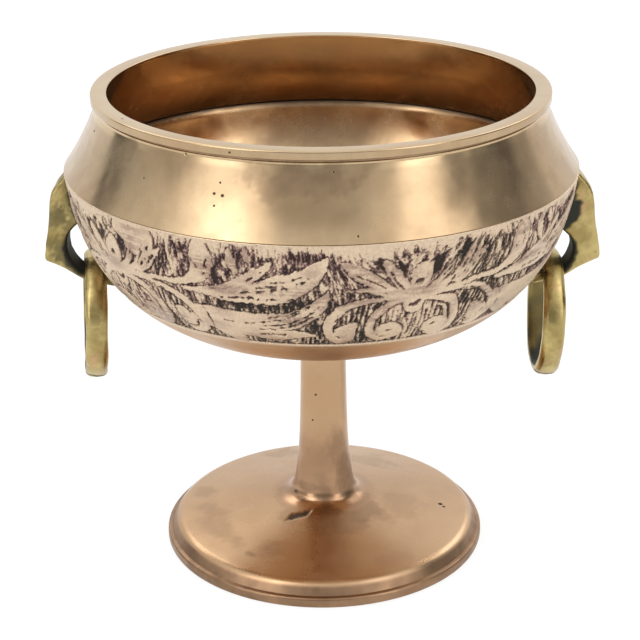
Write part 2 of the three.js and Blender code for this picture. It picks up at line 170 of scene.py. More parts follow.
VEINS = [
    [(20.2, 10.4, .3), (21.2, 9.9, .5), (22, 10.4, .2)],
    [(13.9, 6.7, .1), (14.6, 8.6, .28), (16, 10.6, .25), (17.5, 12, .1)],
    [(26.5, 9.7, .1), (27.4, 8.4, .2), (28.1, 7.2, .1)],
    [(28.7, 11.2, .1), (31, 8, .25), (32.5, 5, .15)],
    [(31, 11.2, .1), (33.5, 8.5, .22), (35.4, 6.1, .1)],
    [(27.6, 12.9, .12), (28.5, 12.2, .2), (29.6, 12.8, .12)],
    [(18.8, 15.9, .4), (20.2, 16.7, .6), (21.5, 15.7, .4)],
    [(12.4, 20.5, .1), (12.3, 24, .28), (13.2, 26.6, .25), (15, 27.6, .1)],
    [(26.5, 16.9, .15), (29, 18.4, .25), (30.7, 21.5, .25), (30.9, 24, .1)],
    [(3.6, 18.6, .12), (2.7, 21.5, .28), (2.9, 24.5, .3), (4.5, 26.7, .15)],
    [(31, 14.6, .1), (36.5, 16.2, .25), (40, 18.8, .28), (42, 22, .25), (42.4, 25.5, .1)],
    [(37.5, 17.3, .12), (39.6, 20, .2), (40.5, 22, .1)],
    [(-24.4, 4.2, .1), (-24, 5.8, .28), (-24.1, 7.2, .2)],
    [(-27.2, 5.4, .1), (-26.8, 6.6, .28), (-26.2, 7.4, .12)],
    [(-25.3, 9.8, .1), (-24.6, 8.8, .15)],
    [(-17.5, 12.9, .15), (-13.5, 12.4, .35), (-9.5, 11.4, .35), (-5.5, 10.2, .2)],
    [(-13.5, 11.3, .25), (-10.5, 10.8, .4), (-8, 10.2, .2)],
    [(-10, 9.6, .15), (-7, 8.9, .2), (-4.2, 7.6, .15)],
    [(-6.8, 9.8, .12), (-4, 9, .15), (-2.8, 8, .1)],
    [(-13, 9.8, .3), (-11.5, 8.3, .35), (-10.7, 7, .25)],
    [(-15.5, 9.5, .15), (-13.3, 8, .2), (-12.3, 7, .15)],
    [(-19, 22.3, .12), (-14, 21.3, .2), (-8, 19.6, .2), (-3.5, 16.8, .15)],
    [(-14, 22.6, .1), (-8, 21.6, .2), (-3.5, 19, .22), (-.6, 15.8, .15)],
    [(-9, 22.9, .2), (-5.5, 21.6, .28), (-2, 18.9, .18)],
    [(-13, 19.8, .1), (-7.5, 18.4, .2), (-3, 15.9, .15)],
    [(-22.5, 22, .15), (-19, 22.3, .22), (-16, 22.2, .1)],
    [(42.8, 16.3, .15), (45.2, 19.5, .25), (45.8, 23.5, .28), (44.8, 27.3, .25), (42.5, 29.4, .15)],
    [(36.3, 25.6, .12), (38.2, 27, .2), (40.3, 26.6, .2), (41.6, 24, .15)],
    [(-.9, 19.5, .15), (-1.2, 24, .25), (.4, 28.2, .25), (3.2, 29.6, .15)],
    [(9.6, 19.5, .15), (9.3, 24, .22), (10.6, 28, .25), (13.5, 29.6, .15)],
    [(34.2, 20.5, .15), (34.6, 25, .25), (33, 28.8, .25), (30, 30, .15)],
    [(12, 13.6, .1), (7, 13.7, .2), (3.4, 15.2, .22), (.8, 18, .15)],
]
# Rows of punched dashes: first and last end, how many, half width
DASHES = [
    ((-21.5, 14.3), (-5.5, 13.7), 9, .3),
    ((7.2, 7.7), (13.6, 11.7), 7, .25),
    ((-14.5, 25.7), (-7.8, 25.4), 3, .35),
    ((-14.3, 23.9), (-9.8, 23.4), 2, .2),
    ((14.8, 25.2), (16.5, 25), 2, .33),
    ((26.9, 24.8), (27.3, 24.8), 1, .5),
]
# Flat metal left uncut beside the palmette on the left, once round the bowl
BLANKS = [
    [(-47, 2, 2), (-42.5, 3.2, 3.4), (-39, 2.6, 2.4)],
    [(-45, 6, 1), (-41, 7, 2)],
]
# Places where the ground is darker (below zero) or paler: angle, drop, half sizes, change of tone.
# These and the next two follow the photograph.
GROUND_TONES = [
    (-29.3, 4, 1.6, 4, -0.16), (-35, 6, 3.6, 6.5, 0.16), (-22.3, 9.3, 1.3, 3, -0.42),
    (-21, 3.5, 1.2, 2.4, -0.22), (-15.8, 4, 1.3, 3, -0.26), (-11.5, 3, 2, 2.6, 0.1),
    (-6.5, 6, 3, 1.1, -0.25), (-11, 7.6, 1.6, 0.9, -0.3), (-2.4, 2.9, 3.6, 1.5, -0.4), (4, 9, 2.2, 5, -0.04),
    (8, 4.5, 3.4, 2.6, 0.14), (12.4, 5.4, 1.4, 1.7, -0.42), (16.7, 6.8, 1.3, 2.4, -0.46),
    (24.6, 7, 1.2, 2.3, -0.46), (28, 4.4, 2.2, 2.4, 0.12), (31.2, 3.7, 1.3, 2, -0.5),
    (37, 9, 1.2, 5, -0.2), (44, 6, 5, 5, 0.14), (-17.3, 16.6, 1.8, 1.1, -0.55), (-11, 16.4, 5, 0.9, -0.3),
    (-4, 14.6, 3, 1.6, -0.28), (-26, 15.6, 3.4, 1.6, 0.08), (-0.9, 24, 1.4, 1.8, -0.32),
    (1.2, 16.5, 1.2, 5, -0.2), (-3, 28.4, 4, 1.6, 0.05), (7, 19, 3, 3.4, 0.06), (16.5, 20.5, 3, 3.6, 0.26),
    (23.5, 20, 2.6, 4, 0.14), (36.5, 18.5, 3.4, 4.2, -0.04), (34.4, 25, 1.2, 3.6, -0.16),
    (20.5, 27, 3, 3, 0.14), (9.8, 27.5, 1.4, 2.2, -0.3), (-27, 20.5, 2, 2, -0.1),
]
# Fans of hatch lines in the ground: angle, drop, half sizes, degrees from line to line, lean
HATCHES = [
    (36.5, 18.5, 4.2, 4.6, 1.2, 0.1), (24.5, 20, 3.4, 5, 1.3, -0.05), (7, 18.5, 3.6, 4, 1.2, 0.15),
    (15.5, 19.5, 3, 4.4, 1.4, 0.1), (-1, 27.5, 5, 3, 1.1, 0), (21, 27.5, 3, 3, 1.1, 0),
]
# Brown shading on the leaves: angle, drop, half sizes, strength
SHADINGS = [
    (-20, 12, 6, 1.6, 0.9), (-8, 12, 6, 1.2, 0.6), (-14, 9.6, 4, 1, 0.5), (-2, 8, 2, 4, 0.5),
    (-6, 20, 7, 2.6, 0.8), (0.4, 15, 1.6, 4, 0.7), (-13, 26.5, 6, 1.4, 0.5), (-26, 24, 5, 2, 0.4),
    (6, 25, 2, 3, 0.35), (12.3, 23, 1.4, 5, 0.4), (30.5, 21, 1.6, 5, 0.5), (17, 12.6, 6, 1, 0.5),
    (40, 24, 3, 4, 0.45), (-38, 22, 4, 5, 0.4), (32, 7, 3, 5, 0.35), (9, 8.5, 3, 2.5, 0.4),
]
# Smooth noises on the band: seed, lumps once round the bowl and lumps down the band
BAND_NOISES = {
    "wander": (1, 70, 6), "wobble": (2, 70, 6), "grit": (3, 560, 36), "fine_grit": (10, 1200, 80),
    "wear": (11, 90, 8), "breaks": (12, 330, 16), "specks": (13, 1250, 80), "streaks": (14, 60, 70),
    "wash": (16, 48, 5), "bays": (8, 260, 1), "nicks": (9, 700, 1), "punches": (4, 620, 12),
    "narrow_punches": (5, 1000, 24), "dots": (7, 1600, 75), "patches": (6, 60, 5), "fringe": (15, 300, 14),
}
# How far the drawing wanders on the metal, in degrees and millimetres
WANDER_DEG = 0.9
WANDER_DROP = 0.7
# A row of dashes: the share of its pitch that a dash takes, and the share of its width at its end
DASH_SHARE = 0.62
DASH_TAPER = 0.8
# How far beside a cut line its depth is still worked out, in millimetres
CUT_REACH = 0.5
# The dotted line above the lower strip
DOT_PITCH_DEG = 1.25
DOT_OFFSET_DEG = 0.62
DOT_DROP = 29.5
DOT_STRETCH = 0.87
LOWER_STRIP = 29.6
# The palmette's middle in degrees, round which the punch marks fan out
PALMETTE_DEG = 20


# Curves and noise
def bezier(controls, steps):
    """Points of the Bezier curve with these control points, at even steps of its parameter."""
    t = np.linspace(0, 1, steps + 1)[:, None]
    layer = [np.asarray(c, float)[None, :] for c in controls]
    while len(layer) > 1:
        layer = [a * (1 - t) + b * t for a, b in zip(layer, layer[1:])]
    return layer[0]


def rounded(corners, steps=4):
    """An outline of (radius, height, rounding): each corner is replaced by a small arc."""
    line = np.asarray([c[:2] for c in corners], float)
    points = []
    for i, (_, _, size) in enumerate(corners):
        here = line[i]
        if size <= 0 or i in (0, len(line) - 1):
            points.append(here[None, :])
            continue
        ends = []
        for other in (line[i - 1], line[i + 1]):
            side = other - here
            length = np.linalg.norm(side)
            ends.append(here + side / length * min(size, length * CORNER_SHARE))
        points.append(bezier([ends[0], here, ends[1]], steps))
    return np.vstack(points)


def smooth(value, low, high):
    """A soft step from 0 at low to 1 at high; low may be the larger one."""
    t = np.clip((value - low) / (high - low), 0, 1)
    return t * t * (3 - 2 * t)


def band_noise(name, turn, fall):
    """One of the band's smooth noises, 0 to 1, at a share of a turn and of the band's width."""
    seed, columns, rows = BAND_NOISES[name]
    grid = np.random.default_rng(seed).random((rows + 1, columns))
    gx, gy = turn * columns, np.clip(fall, 0, 1) * rows * 0.9999
    ix, iy = np.floor(gx).astype(int), np.floor(gy).astype(int)
    fx, fy = smooth(gx - ix, 0, 1), smooth(gy - iy, 0, 1)
    left, right = ix % columns, (ix + 1) % columns
    top = grid[iy, left] * (1 - fx) + grid[iy, right] * fx
    low = grid[iy + 1, left] * (1 - fx) + grid[iy + 1, right] * fx
    return top * (1 - fy) + low * fy


def lumps(points, size, seed):
    """Soft unevenness of a casting, about -1 to 1, at points in millimetres."""
    rng = np.random.default_rng(seed)
    total = np.zeros(len(points))
    for _ in range(9):
        direction = rng.normal(size=3)
        direction *= 2 * math.pi / (size * rng.uniform(0.7, 1.6) * np.linalg.norm(direction))
        total += np.sin(points @ direction + rng.uniform(0, 2 * math.pi))
    return total / 4


# The ornament's strokes
def stroke_line(points, steps=6):
    """A smooth line through a stroke's points, width included."""
    p = np.asarray(points, float)
    if len(p) < 3:
        return p
    p = np.vstack([2 * p[0] - p[1], p, 2 * p[-1] - p[-2]])
    t = np.linspace(0, 1, steps, endpoint=False)[:, None]
    spans = []
    for a, b, c, d in zip(p, p[1:], p[2:], p[3:]):
        bend = (2 * a - 5 * b + 4 * c - d) * t**2 + (3 * b - a - 3 * c + d) * t**3
        spans.append(0.5 * (2 * b + (c - a) * t + bend))
    return np.vstack(spans + [p[-2:-1]])


def inside_stroke(x, y, points, reach=1.0):
    """Millimetres inside the stroke at each place; -reach well outside it."""
    line = stroke_line(points)
    depth = np.full(x.shape, -reach)
    margin = line[:, 2].max() + reach
    near = (x > line[:, 0].min() - margin) & (x < line[:, 0].max() + margin)
    near &= (y > line[:, 1].min() - margin) & (y < line[:, 1].max() + margin)
    px, py = x[near], y[near]
    best = np.full(px.shape, -reach)
    for a, b in zip(line, line[1:]):
        span = b - a
        length = max(span[0] ** 2 + span[1] ** 2, 1e-9)
        t = np.clip(((px - a[0]) * span[0] + (py - a[1]) * span[1]) / length, 0, 1)
        away = np.hypot(px - a[0] - t * span[0], py - a[1] - t * span[1])
        best = np.maximum(best, a[2] + t * span[2] - away)
    depth[near] = best
    return depth


def carved(x, y):
    """How far each place lies inside the leaves, and inside the lines cut into them."""
    raised = np.full(x.shape, -1.0)
    cut = np.full(x.shape, -1.0)
    for shift in (-REPEAT_DEG, 0, REPEAT_DEG):
        for points in PETALS + SCROLLS + SPRAY:
            raised = np.maximum(raised, inside_stroke(x + shift, y, points))
        for points in VEINS:
            cut = np.maximum(cut, inside_stroke(x + shift, y, points, CUT_REACH))
        for start, end, count, half in DASHES:
            run = np.subtract(end, start) / count
            for i in range(count):
                first = start + run * i
                last = first + run * DASH_SHARE
                dash = [(*first, half), (*last, half * DASH_TAPER)]
                cut = np.maximum(cut, inside_stroke(x + shift, y, dash, CUT_REACH))
    return raised, cut


def from_oval(x, drop, angle, place, half_angle, half_drop):
    """Distance from the middle of an oval, 1 at its edge."""
    return np.hypot((x - angle) / half_angle, (drop - place) / half_drop)


def ornament(angle, drop):
    """Height of the ornament, 0 in the ground to 1 on the leaves, and its brown wash, 0 to 1."""
    turn = angle / 360
    fall = drop / BAND_WIDTH
    wander = band_noise("wander", turn, fall) - 0.5
    wobble = band_noise("wobble", turn, fall) - 0.5
    x = (angle - REPEAT_START_DEG + WANDER_DEG * wander) % REPEAT_DEG + REPEAT_START_DEG
    raised, cut = carved(x, drop + WANDER_DROP * wobble)
    signed = (angle + 180) % 360 - 180
    for points in BLANKS:
        raised = np.maximum(raised, inside_stroke(signed, drop, points))
    grit = 0.6 * band_noise("grit", turn, fall) + 0.4 * band_noise("fine_grit", turn, fall) - 0.5
    wear = band_noise("wear", turn, fall)
    frayed = (0.3 + 0.9 * wear) * grit
    form = smooth(raised + frayed, -0.08, 0.22)
    broken = smooth(band_noise("breaks", turn, fall) + 0.5 * wear, 0.3, 0.75)
    form *= 1 - 0.85 * broken * smooth(cut + 1.2 * frayed, -0.15, 0.14)
    # plain strips along both edges, the upper one ragged, the lower one with a row of dots
    ragged = band_noise("bays", turn, 0 * turn) + 0.7 * band_noise("nicks", turn, 0 * turn)
    strip = 0.7 * ragged + 0.9 * smooth(np.abs(x - 10), 10, 5)
    border = np.maximum(smooth(drop - strip, 0.4, -0.1), smooth(drop, LOWER_STRIP, LOWER_STRIP + 0.5))
    ground = punched_ground(turn, fall, drop, x, -raised, wear, drop - strip)
    dot_middle = (angle % DOT_PITCH_DEG - DOT_OFFSET_DEG) * DOT_STRETCH
    ground *= smooth(np.hypot(dot_middle, drop - DOT_DROP), 0.2, 0.5)
    relief = np.maximum(np.maximum(form, ground), border)
    specks = smooth(band_noise("specks", turn, fall), 0.86, 0.97) * smooth(wear, 0.45, 0.75)
    relief -= 0.5 * specks * smooth(drop, 0.6, 2)
    # the brown wash lies on the leaves: in patches, in streaks and along their edges
    patchy = 0.75 * smooth(band_noise("wash", turn, fall), 0.45, 0.75)
    for *oval, strength in SHADINGS:
        patchy = np.maximum(patchy, strength * smooth(from_oval(x, drop, *oval), 1.4, 0.4))
    streaks = band_noise("streaks", turn - 0.0022 * drop, fall)
    streaked = 0.2 + 0.8 * smooth(streaks + grit, 0.35, 0.65)
    wash = patchy * np.maximum(smooth(raised + grit, 1.4, 0), streaked)
    wash = wash * smooth(raised, -0.1, 0.15) * (1 - border)
    return np.clip(relief, 0, 1), wash


def punched_ground(turn, fall, drop, x, outside, wear, below_strip):
    """The ground between the leaves: upright punch marks, fanned out above the palmette."""
    beside = x - PALMETTE_DEG
    spread = 0.42 * beside * smooth(np.abs(beside), 26, 10) * smooth(drop, 14, 0)
    turn = turn - spread / 360
    marks = 0.36 * band_noise("punches", turn, fall) + 0.36 * band_noise("narrow_punches", turn, fall)
    marks += 0.34 * band_noise("dots", turn, fall)
    marks = 0.56 + 1.65 * (marks - 0.53)
    fringe = 0.9 * (band_noise("fringe", turn, fall) - 0.5)
    change = 0.3 * (band_noise("patches", turn, fall) - 0.5) + 0.42 * smooth(below_strip, 3, 0)
    for *oval, tone in GROUND_TONES:
        change = change + tone * smooth(from_oval(x, drop, *oval) + fringe, 1.25, 0.55)
    for *oval, pitch, lean in HATCHES:
        lines = np.cos(2 * np.pi * (x + lean * (drop - oval[1])) / pitch)
        change = change + 0.24 * lines * smooth(from_oval(x, drop, *oval), 1.2, 0.8)
    tone = smooth(marks + change, 0.12, 1)
    close = smooth(outside + 0.3 * (wear - 0.5), 0, 0.5)
    return 0.85 * tone * (0.25 + 0.75 * close)


# Meshes
def added(name, data):
    """A new object in the scene."""
    made = bpy.data.objects.new(name, data)
    bpy.context.scene.collection.objects.link(made)
    return made


def piece(name, vertices, faces, uvs, material, body, replaced, sharp_deg=None):
    """A new visible piece from millimetres; uvs hold one pair for each face corner."""
    mesh = bpy.data.meshes.new(name)
    mesh.from_pydata((np.asarray(vertices) * MM).tolist(), [], faces)
    if uvs is not None:
        layer = mesh.uv_layers.new(name="turning")
        layer.data.foreach_set("uv", np.asarray(uvs, np.float32).ravel())
    mesh.shade_smooth()
    if sharp_deg is not None:
        mesh.set_sharp_from_angle(angle=math.radians(sharp_deg))
    mesh.materials.append(material)
    made = added(name, mesh)
    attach(made, body)
    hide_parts(*replaced)
    return made


def turned_grid(outline, columns):
    """Vertex grid of an outline of (radius, height) turned about +Z, from the front towards +X."""
    angle = np.linspace(0, 2 * math.pi, columns, endpoint=False)[:, None]
    radius, height = outline[:, 0][None, :], outline[:, 1][None, :]
    x = np.sin(angle) * radius
    y = -np.cos(angle) * radius
    return np.stack([x, y, np.broadcast_to(height, x.shape)], -1)


def turned_faces(grid, outline):
    """Faces and uvs of a closed turned grid. u runs once round, v is millimetres along the outline."""
    columns, rows = grid.shape[:2]
    index = np.arange(columns * rows).reshape(columns, rows)
    on_axis = outline[:, 0] < 1e-6
    index[:, on_axis] = index[0, on_axis]
    step = np.linalg.norm(np.diff(outline, axis=0, append=outline[:1]), axis=1)
    arc = np.concatenate([[0], np.cumsum(step)])
    faces, uvs = [], []
    for j in range(rows):
        k = (j + 1) % rows
        if on_axis[j] and on_axis[k]:
            continue
        here, there = index[:, j].tolist(), index[:, k].tolist()
        for i in range(columns):
            n = (i + 1) % columns
            u0, u1 = i / columns, (i + 1) / columns
            corners = [(here[i], u0, arc[j]), (here[n], u1, arc[j]), (there[n], u1, arc[j + 1]),
                       (there[i], u0, arc[j + 1])]
            if on_axis[j]:
                corners.pop(1)
            elif on_axis[k]:
                corners.pop(2)
            faces.append([c[0] for c in corners])
            uvs.extend(c[1:] for c in corners)
    used = np.unique(np.concatenate([np.asarray(f) for f in faces]))
    new_index = np.full(columns * rows, -1)
    new_index[used] = np.arange(len(used))
    faces = [[int(new_index[v]) for v in face] for face in faces]
    return grid.reshape(-1, 3)[used], faces, uvs, used


def turned_piece(name, outline, material, replaced):
    """A piece of the bowl's own body, turned from its closed outline."""
    grid = turned_grid(outline, TURNED_SEGMENTS)
    vertices, faces, uvs, _ = turned_faces(grid, outline)
    return piece(name, vertices, faces, uvs, material, "bowl", replaced, SHARP_DEG)


def vectors(items, name):
    """One vector for each item of a mesh, such as a vertex's place."""
    values = np.empty(len(items) * 3)
    items.foreach_get(name, values)
    return values.reshape(-1, 3)


def points_of(made):
    """A piece's vertices in millimetres and its normals."""
    return vectors(made.data.vertices, "co") / MM, vectors(made.data.vertex_normals, "vector")


def around(points):
    """Degrees from the front towards the right, and distance from the bowl's axis."""
    return np.degrees(np.arctan2(points[:, 0], -points[:, 1])), np.hypot(points[:, 0], points[:, 1])


def blotches(points, along, places, seed):
    """Ragged soft spots on a turned piece: angle and place along it, half sizes, strength."""
    angle, _ = around(points)
    ragged = 0.3 * lumps(points, 6, seed) + 0.16 * lumps(points, 2.2, seed + 1)
    total = np.zeros(len(points))
    for middle, here, half_angle, half_size, strength in places:
        away = np.hypot(((angle - middle + 180) % 360 - 180) / half_angle, (along - here) / half_size)
        total = np.maximum(total, strength * smooth(away + ragged, 1.3, 0.5))
    return total


def store(made, name, values):
    """Keeps one number per vertex for the material to read."""
    attribute = made.data.attributes.new(name, "FLOAT", "POINT")
    attribute.data.foreach_set("value", np.asarray(values, np.float32))


# Colours: tarnish, whose colour also paints shade and dark reflections, and pits on plain brass,
# the etched band from its ground to its bare leaves, and the cast handles, whose tarnish colour
# also paints shade in the lugs' eyes. A pair is blended by a noise.
TARNISH_AND_SHADE = (0.2, 0.125, 0.075)
PIT = (0.085, 0.06, 0.04)
BAND_GROUND = ((0.042, 0.022, 0.02), (0.022, 0.021, 0.015))
BAND_PATINA = ((0.27, 0.165, 0.145), (0.22, 0.15, 0.11))
BAND_BARE = ((0.66, 0.51, 0.36), (0.78, 0.62, 0.45))
BAND_SCRATCH = (0.5, 0.37, 0.26)
BAND_WASH = (0.24, 0.135, 0.115)
CAST_SKIN = ((0.35, 0.265, 0.1), (0.57, 0.45, 0.19))
CAST_BLUSH = (0.56, 0.35, 0.19)
CAST_SPOT = (0.12, 0.1, 0.06)
CAST_TARNISH_AND_SHADE = (0.022, 0.024, 0.016)


# Materials
class Nodes:
    """A small helper round one node tree."""

    def __init__(self, tree):
        self.tree = tree

    def link(self, value, socket):
        """Joins an output to a socket, or sets a constant on the socket itself."""
        if isinstance(value, bpy.types.NodeSocket):
            self.tree.links.new(value, socket)
        elif isinstance(value, tuple) and len(value) == 3 and len(socket.default_value) == 4:
            socket.default_value = (*value, 1)
        else:
            socket.default_value = value

    def node(self, kind, inputs, **settings):
        """A new shader node with its settings and inputs."""
        made = self.tree.nodes.new("ShaderNode" + kind)
        for name, value in settings.items():
            setattr(made, name, value)
        for socket, value in inputs.items():
            self.link(value, made.inputs[socket])
        return made

    def math(self, operation, first, second=0.0, clamp=True):
        kept = clamp and operation in ("ADD", "SUBTRACT", "MULTIPLY")
        made = self.node("Math", {0: first, 1: second}, operation=operation, use_clamp=kept)
        return made.outputs["Value"]

    def ranged(self, value, low, high, to_low=0, to_high=1):
        ends = {"From Min": low, "From Max": high, "To Min": to_low, "To Max": to_high}
        made = self.node("MapRange", {"Value": value, **ends}, interpolation_type="SMOOTHSTEP")
        return made.outputs["Result"]

    def mix(self, factor, first, second):
        """A blend of two colours."""
        return self.node("Mix", {0: factor, 6: first, 7: second}, data_type="RGBA").outputs[2]

    def blend(self, factor, first, second):
        """A blend of two numbers."""
        return self.node("Mix", {0: factor, 2: first, 3: second}, data_type="FLOAT").outputs[0]


class Look(Nodes):
    """The node tree of one brass, with the noises and marks that it is made of."""

    def __init__(self, name):
        self.material = bpy.data.materials.new(name)
        self.material.use_nodes = True
        super().__init__(self.material.node_tree)
        self.surface = self.tree.nodes["Principled BSDF"]
        self.place = self.node("TexCoord", {})

    def noise(self, scale, detail=4, source="Object", stretch=(1, 1, 1), rough=0.55, twist=0):
        stretched = self.node("Mapping", {"Vector": self.place.outputs[source], "Scale": stretch})
        inputs = {"Vector": stretched.outputs["Vector"], "Scale": scale, "Detail": detail,
                  "Roughness": rough, "Distortion": twist}
        return self.node("TexNoise", inputs).outputs["Fac"]

    def spots(self, scale, size, chance):
        """Scattered round pits: 1 at a pit's middle, 0 away from it."""
        cells = self.node("TexVoronoi", {"Vector": self.place.outputs["Object"], "Scale": scale})
        near = self.ranged(cells.outputs["Distance"], size, size * 0.4)
        split = self.node("SeparateColor", {"Color": cells.outputs["Color"]})
        return self.math("MULTIPLY", near, self.math("LESS_THAN", split.outputs["Red"], chance))

    def marks(self, places):
        """Small pits at given places on the turned pieces: angle, radius, height and size."""
        total = 0.0
        for angle, radius, height, size in places:
            turn = math.radians(angle)
            spot = (radius * math.sin(turn) * MM, -radius * math.cos(turn) * MM, height * MM)
            away = self.node("VectorMath", {0: self.place.outputs["Object"], 1: spot}, operation="DISTANCE")
            pit = self.ranged(away.outputs["Value"], size * MM, size * 0.4 * MM)
            total = self.math("MAXIMUM", total, pit)
        return total

    def attribute(self, name):
        return self.node("Attribute", {}, attribute_name=name).outputs["Fac"]

    def bump(self, height, strength, depth, under=None):
        inputs = {"Strength": strength, "Distance": depth * MM, "Height": height}
        if under is not None:
            inputs["Normal"] = under
        return self.node("Bump", inputs).outputs["Normal"]

    def finish(self, colour, roughness, metallic, normal):
        values = {"Base Color": colour, "Roughness": roughness, "Metallic": metallic, "Normal": normal}
        for name, value in values.items():
            self.link(value, self.surface.inputs[name])
        return self.material


def polished(name, bright, warm, deep, gloss, wave, stain_share, places):
    """Worn polished brass: warm blotches, smudged gloss, shallow waves, pits.

    The deep attribute turns it to its deeper colour and dull takes its gloss; tarnish_and_shade,
    which holds tarnish and also painted shade and painted dark reflections, browns it and, above
    one, blackens it.
    """
    look = Look(name)
    blotches = look.noise(34, 5)
    smudges = look.noise(70, 6, rough=0.6, twist=0.5)
    waves = look.noise(38, 3, rough=0.45)
    mottle = look.noise(260, 2)
    pits = look.math("MAXIMUM", look.spots(95, 0.045, 0.1), look.marks(places))
    dark_patches = look.ranged(look.noise(60, 5), 0.56, 0.8, 0, stain_share)
    colour = look.mix(look.ranged(blotches, 0.35, 0.68), warm, bright)
    colour = look.mix(look.attribute("deep"), colour, deep)
    colour = look.mix(dark_patches, colour, tuple(0.62 * c for c in warm))
    tarnish_and_shade = look.attribute("tarnish_and_shade")
    # tarnish, and the painted shade and dark reflections that some pieces store with it
    tarnished_and_shaded = look.math("MULTIPLY", tarnish_and_shade, look.ranged(mottle, 0.3, 0.7, 0.7, 1))
    colour = look.mix(tarnished_and_shaded, colour, TARNISH_AND_SHADE)
    colour = look.mix(look.ranged(tarnish_and_shade, 1, 1.6, 0, 0.95), colour, PIT)
    colour = look.mix(pits, colour, PIT)
    low, high = gloss
    roughness = look.ranged(smudges, 0.3, 0.72, low, high)
    roughness = look.math("ADD", roughness, look.math("MULTIPLY", look.attribute("dull"), 0.2))
    roughness = look.math("ADD", roughness, look.math("MULTIPLY", pits, 0.4))
    roughness = look.math("ADD", roughness, look.math("MULTIPLY", tarnished_and_shaded, 0.14))
    normal = look.bump(waves, 1, wave)
    normal = look.bump(look.math("SUBTRACT", 1.0, pits), 0.6, 0.15, normal)
    return look.finish(colour, roughness, 1.0, normal)


def etched(name):
    """Etched band: bare brass on the leaves, brown patina and punch marks in the ground."""
    look = Look(name)
    relief = look.attribute("relief")
    shade = look.noise(26, 4)
    stipple = look.noise(1, 6, "UV", (1100, 2.2, 1), 0.8)
    fine = look.noise(2600, 5, rough=0.8)
    scratches = look.noise(1, 4, "UV", (1500, 0.25, 1), 0.6)
    grain = look.noise(1600, 4, rough=0.7)
    uneven = look.math("ADD", relief, look.ranged(stipple, 0.3, 0.7, -0.14, 0.14))
    uneven = look.math("ADD", uneven, look.ranged(fine, 0.35, 0.65, -0.12, 0.12))
    dark = look.mix(look.ranged(shade, 0.35, 0.65), *BAND_GROUND)
    middle = look.mix(look.ranged(shade, 0.4, 0.6), *BAND_PATINA)
    bare = look.mix(look.ranged(grain, 0.35, 0.7), *BAND_BARE)
    rubbed = look.ranged(scratches, 0.56, 0.7, 0, 0.35)
    bare = look.mix(rubbed, bare, BAND_SCRATCH)
    shaded = look.math("MULTIPLY", look.attribute("wash"), look.ranged(fine, 0.35, 0.6, 0.5, 0.95))
    bare = look.mix(shaded, bare, BAND_WASH)
    colour = look.mix(look.ranged(uneven, 0.08, 0.4), dark, middle)
    colour = look.mix(look.ranged(uneven, 0.35, 0.8), colour, bare)
    metallic = look.ranged(uneven, 0.15, 0.6, 0.15, 1)
    roughness = look.ranged(uneven, 0.3, 0.85, 0.7, 0.4)
    normal = look.bump(stipple, 0.5, 0.12)
    normal = look.bump(grain, 0.5, 0.05, normal)
    look.surface.inputs["Specular IOR Level"].default_value = 0.2
    return look.finish(colour, roughness, metallic, normal)


def cast(name):
    """Cast handle brass: olive, uneven, dark with tarnish, and with painted shade in the lugs' eyes."""
    look = Look(name)
    tarnish_and_shade = look.attribute("tarnish_and_shade")
    patches = look.noise(170, 5, rough=0.6)
    rough_skin = look.noise(520, 5, rough=0.6)
    blush = look.noise(150, 3)
    waves = look.noise(110, 2)
    spots = look.spots(330, 0.12, 0.2)
    colour = look.mix(look.ranged(patches, 0.35, 0.65), *CAST_SKIN)
    colour = look.mix(look.ranged(blush, 0.56, 0.72, 0, 0.7), colour, CAST_BLUSH)
    colour = look.mix(look.math("MULTIPLY", spots, 0.6), colour, CAST_SPOT)
    edge = look.math("ADD", tarnish_and_shade, look.ranged(patches, 0.3, 0.7, -0.12, 0.12))
    # dark with tarnish, and with painted shade in the eyes of the lugs
    dirty_and_shaded = look.ranged(edge, 0.12, 0.9)
    colour = look.mix(dirty_and_shaded, colour, CAST_TARNISH_AND_SHADE)
    roughness = look.ranged(rough_skin, 0.3, 0.7, 0.24, 0.4)
    roughness = look.blend(dirty_and_shaded, roughness, 0.65)
    metallic = look.blend(look.ranged(dirty_and_shaded, 0.5, 1), 1.0, 0.25)
    normal = look.bump(waves, 1, 0.25)
    normal = look.bump(rough_skin, 0.3, 0.07, normal)
    normal = look.bump(patches, 0.5, 0.2, normal)
    return look.finish(colour, roughness, metallic, normal)


# Pits and black spots seen on the shoulder and lip, the stem and the foot
SHOULDER_PITS = [
    (-32.5, 54.3, 117, 0.5), (-43, 57, 110.3, 0.35), (-23.5, 57, 110.1, 0.4), (-21.5, 57.1, 109.9, 0.45),
    (-23, 58.2, 107.8, 0.3), (3, 54.7, 115.5, 0.4), (7.5, 61, 103.1, 0.4), (32, 55.5, 113.5, 0.25),
    (-20.5, 55, 119, 0.35), (-57, 53, 120.1, 0.4), (-22.5, 56, 112.4, 0.3),
]
FOOT_PITS = [
    (-19, 5.9, 41, 0.4), (-27, 6.1, 33.8, 0.35), (88, 30.5, 7.1, 0.9), (86, 31.4, 6.9, 0.6),
]
SHOULDER_LOOK = polished("shoulder_polished", bright=(0.63, 0.475, 0.29), warm=(0.57, 0.405, 0.235),
                         deep=(0.61, 0.44, 0.28), gloss=(0.11, 0.26), wave=0.26, stain_share=0.3,
                         places=SHOULDER_PITS)
BASIN_LOOK = polished("basin_polished", bright=(0.66, 0.46, 0.29), warm=(0.58, 0.385, 0.23),
                      deep=(0.66, 0.455, 0.26), gloss=(0.14, 0.3), wave=0.16, stain_share=0.2,
                      places=[])
FOOT_LOOK = polished("foot_polished", bright=(0.55, 0.365, 0.22), warm=(0.49, 0.31, 0.175),
                     deep=(0.42, 0.25, 0.145), gloss=(0.14, 0.3), wave=0.16, stain_share=0.2,
                     places=FOOT_PITS)
ETCHED_LOOK = etched("band_etched")
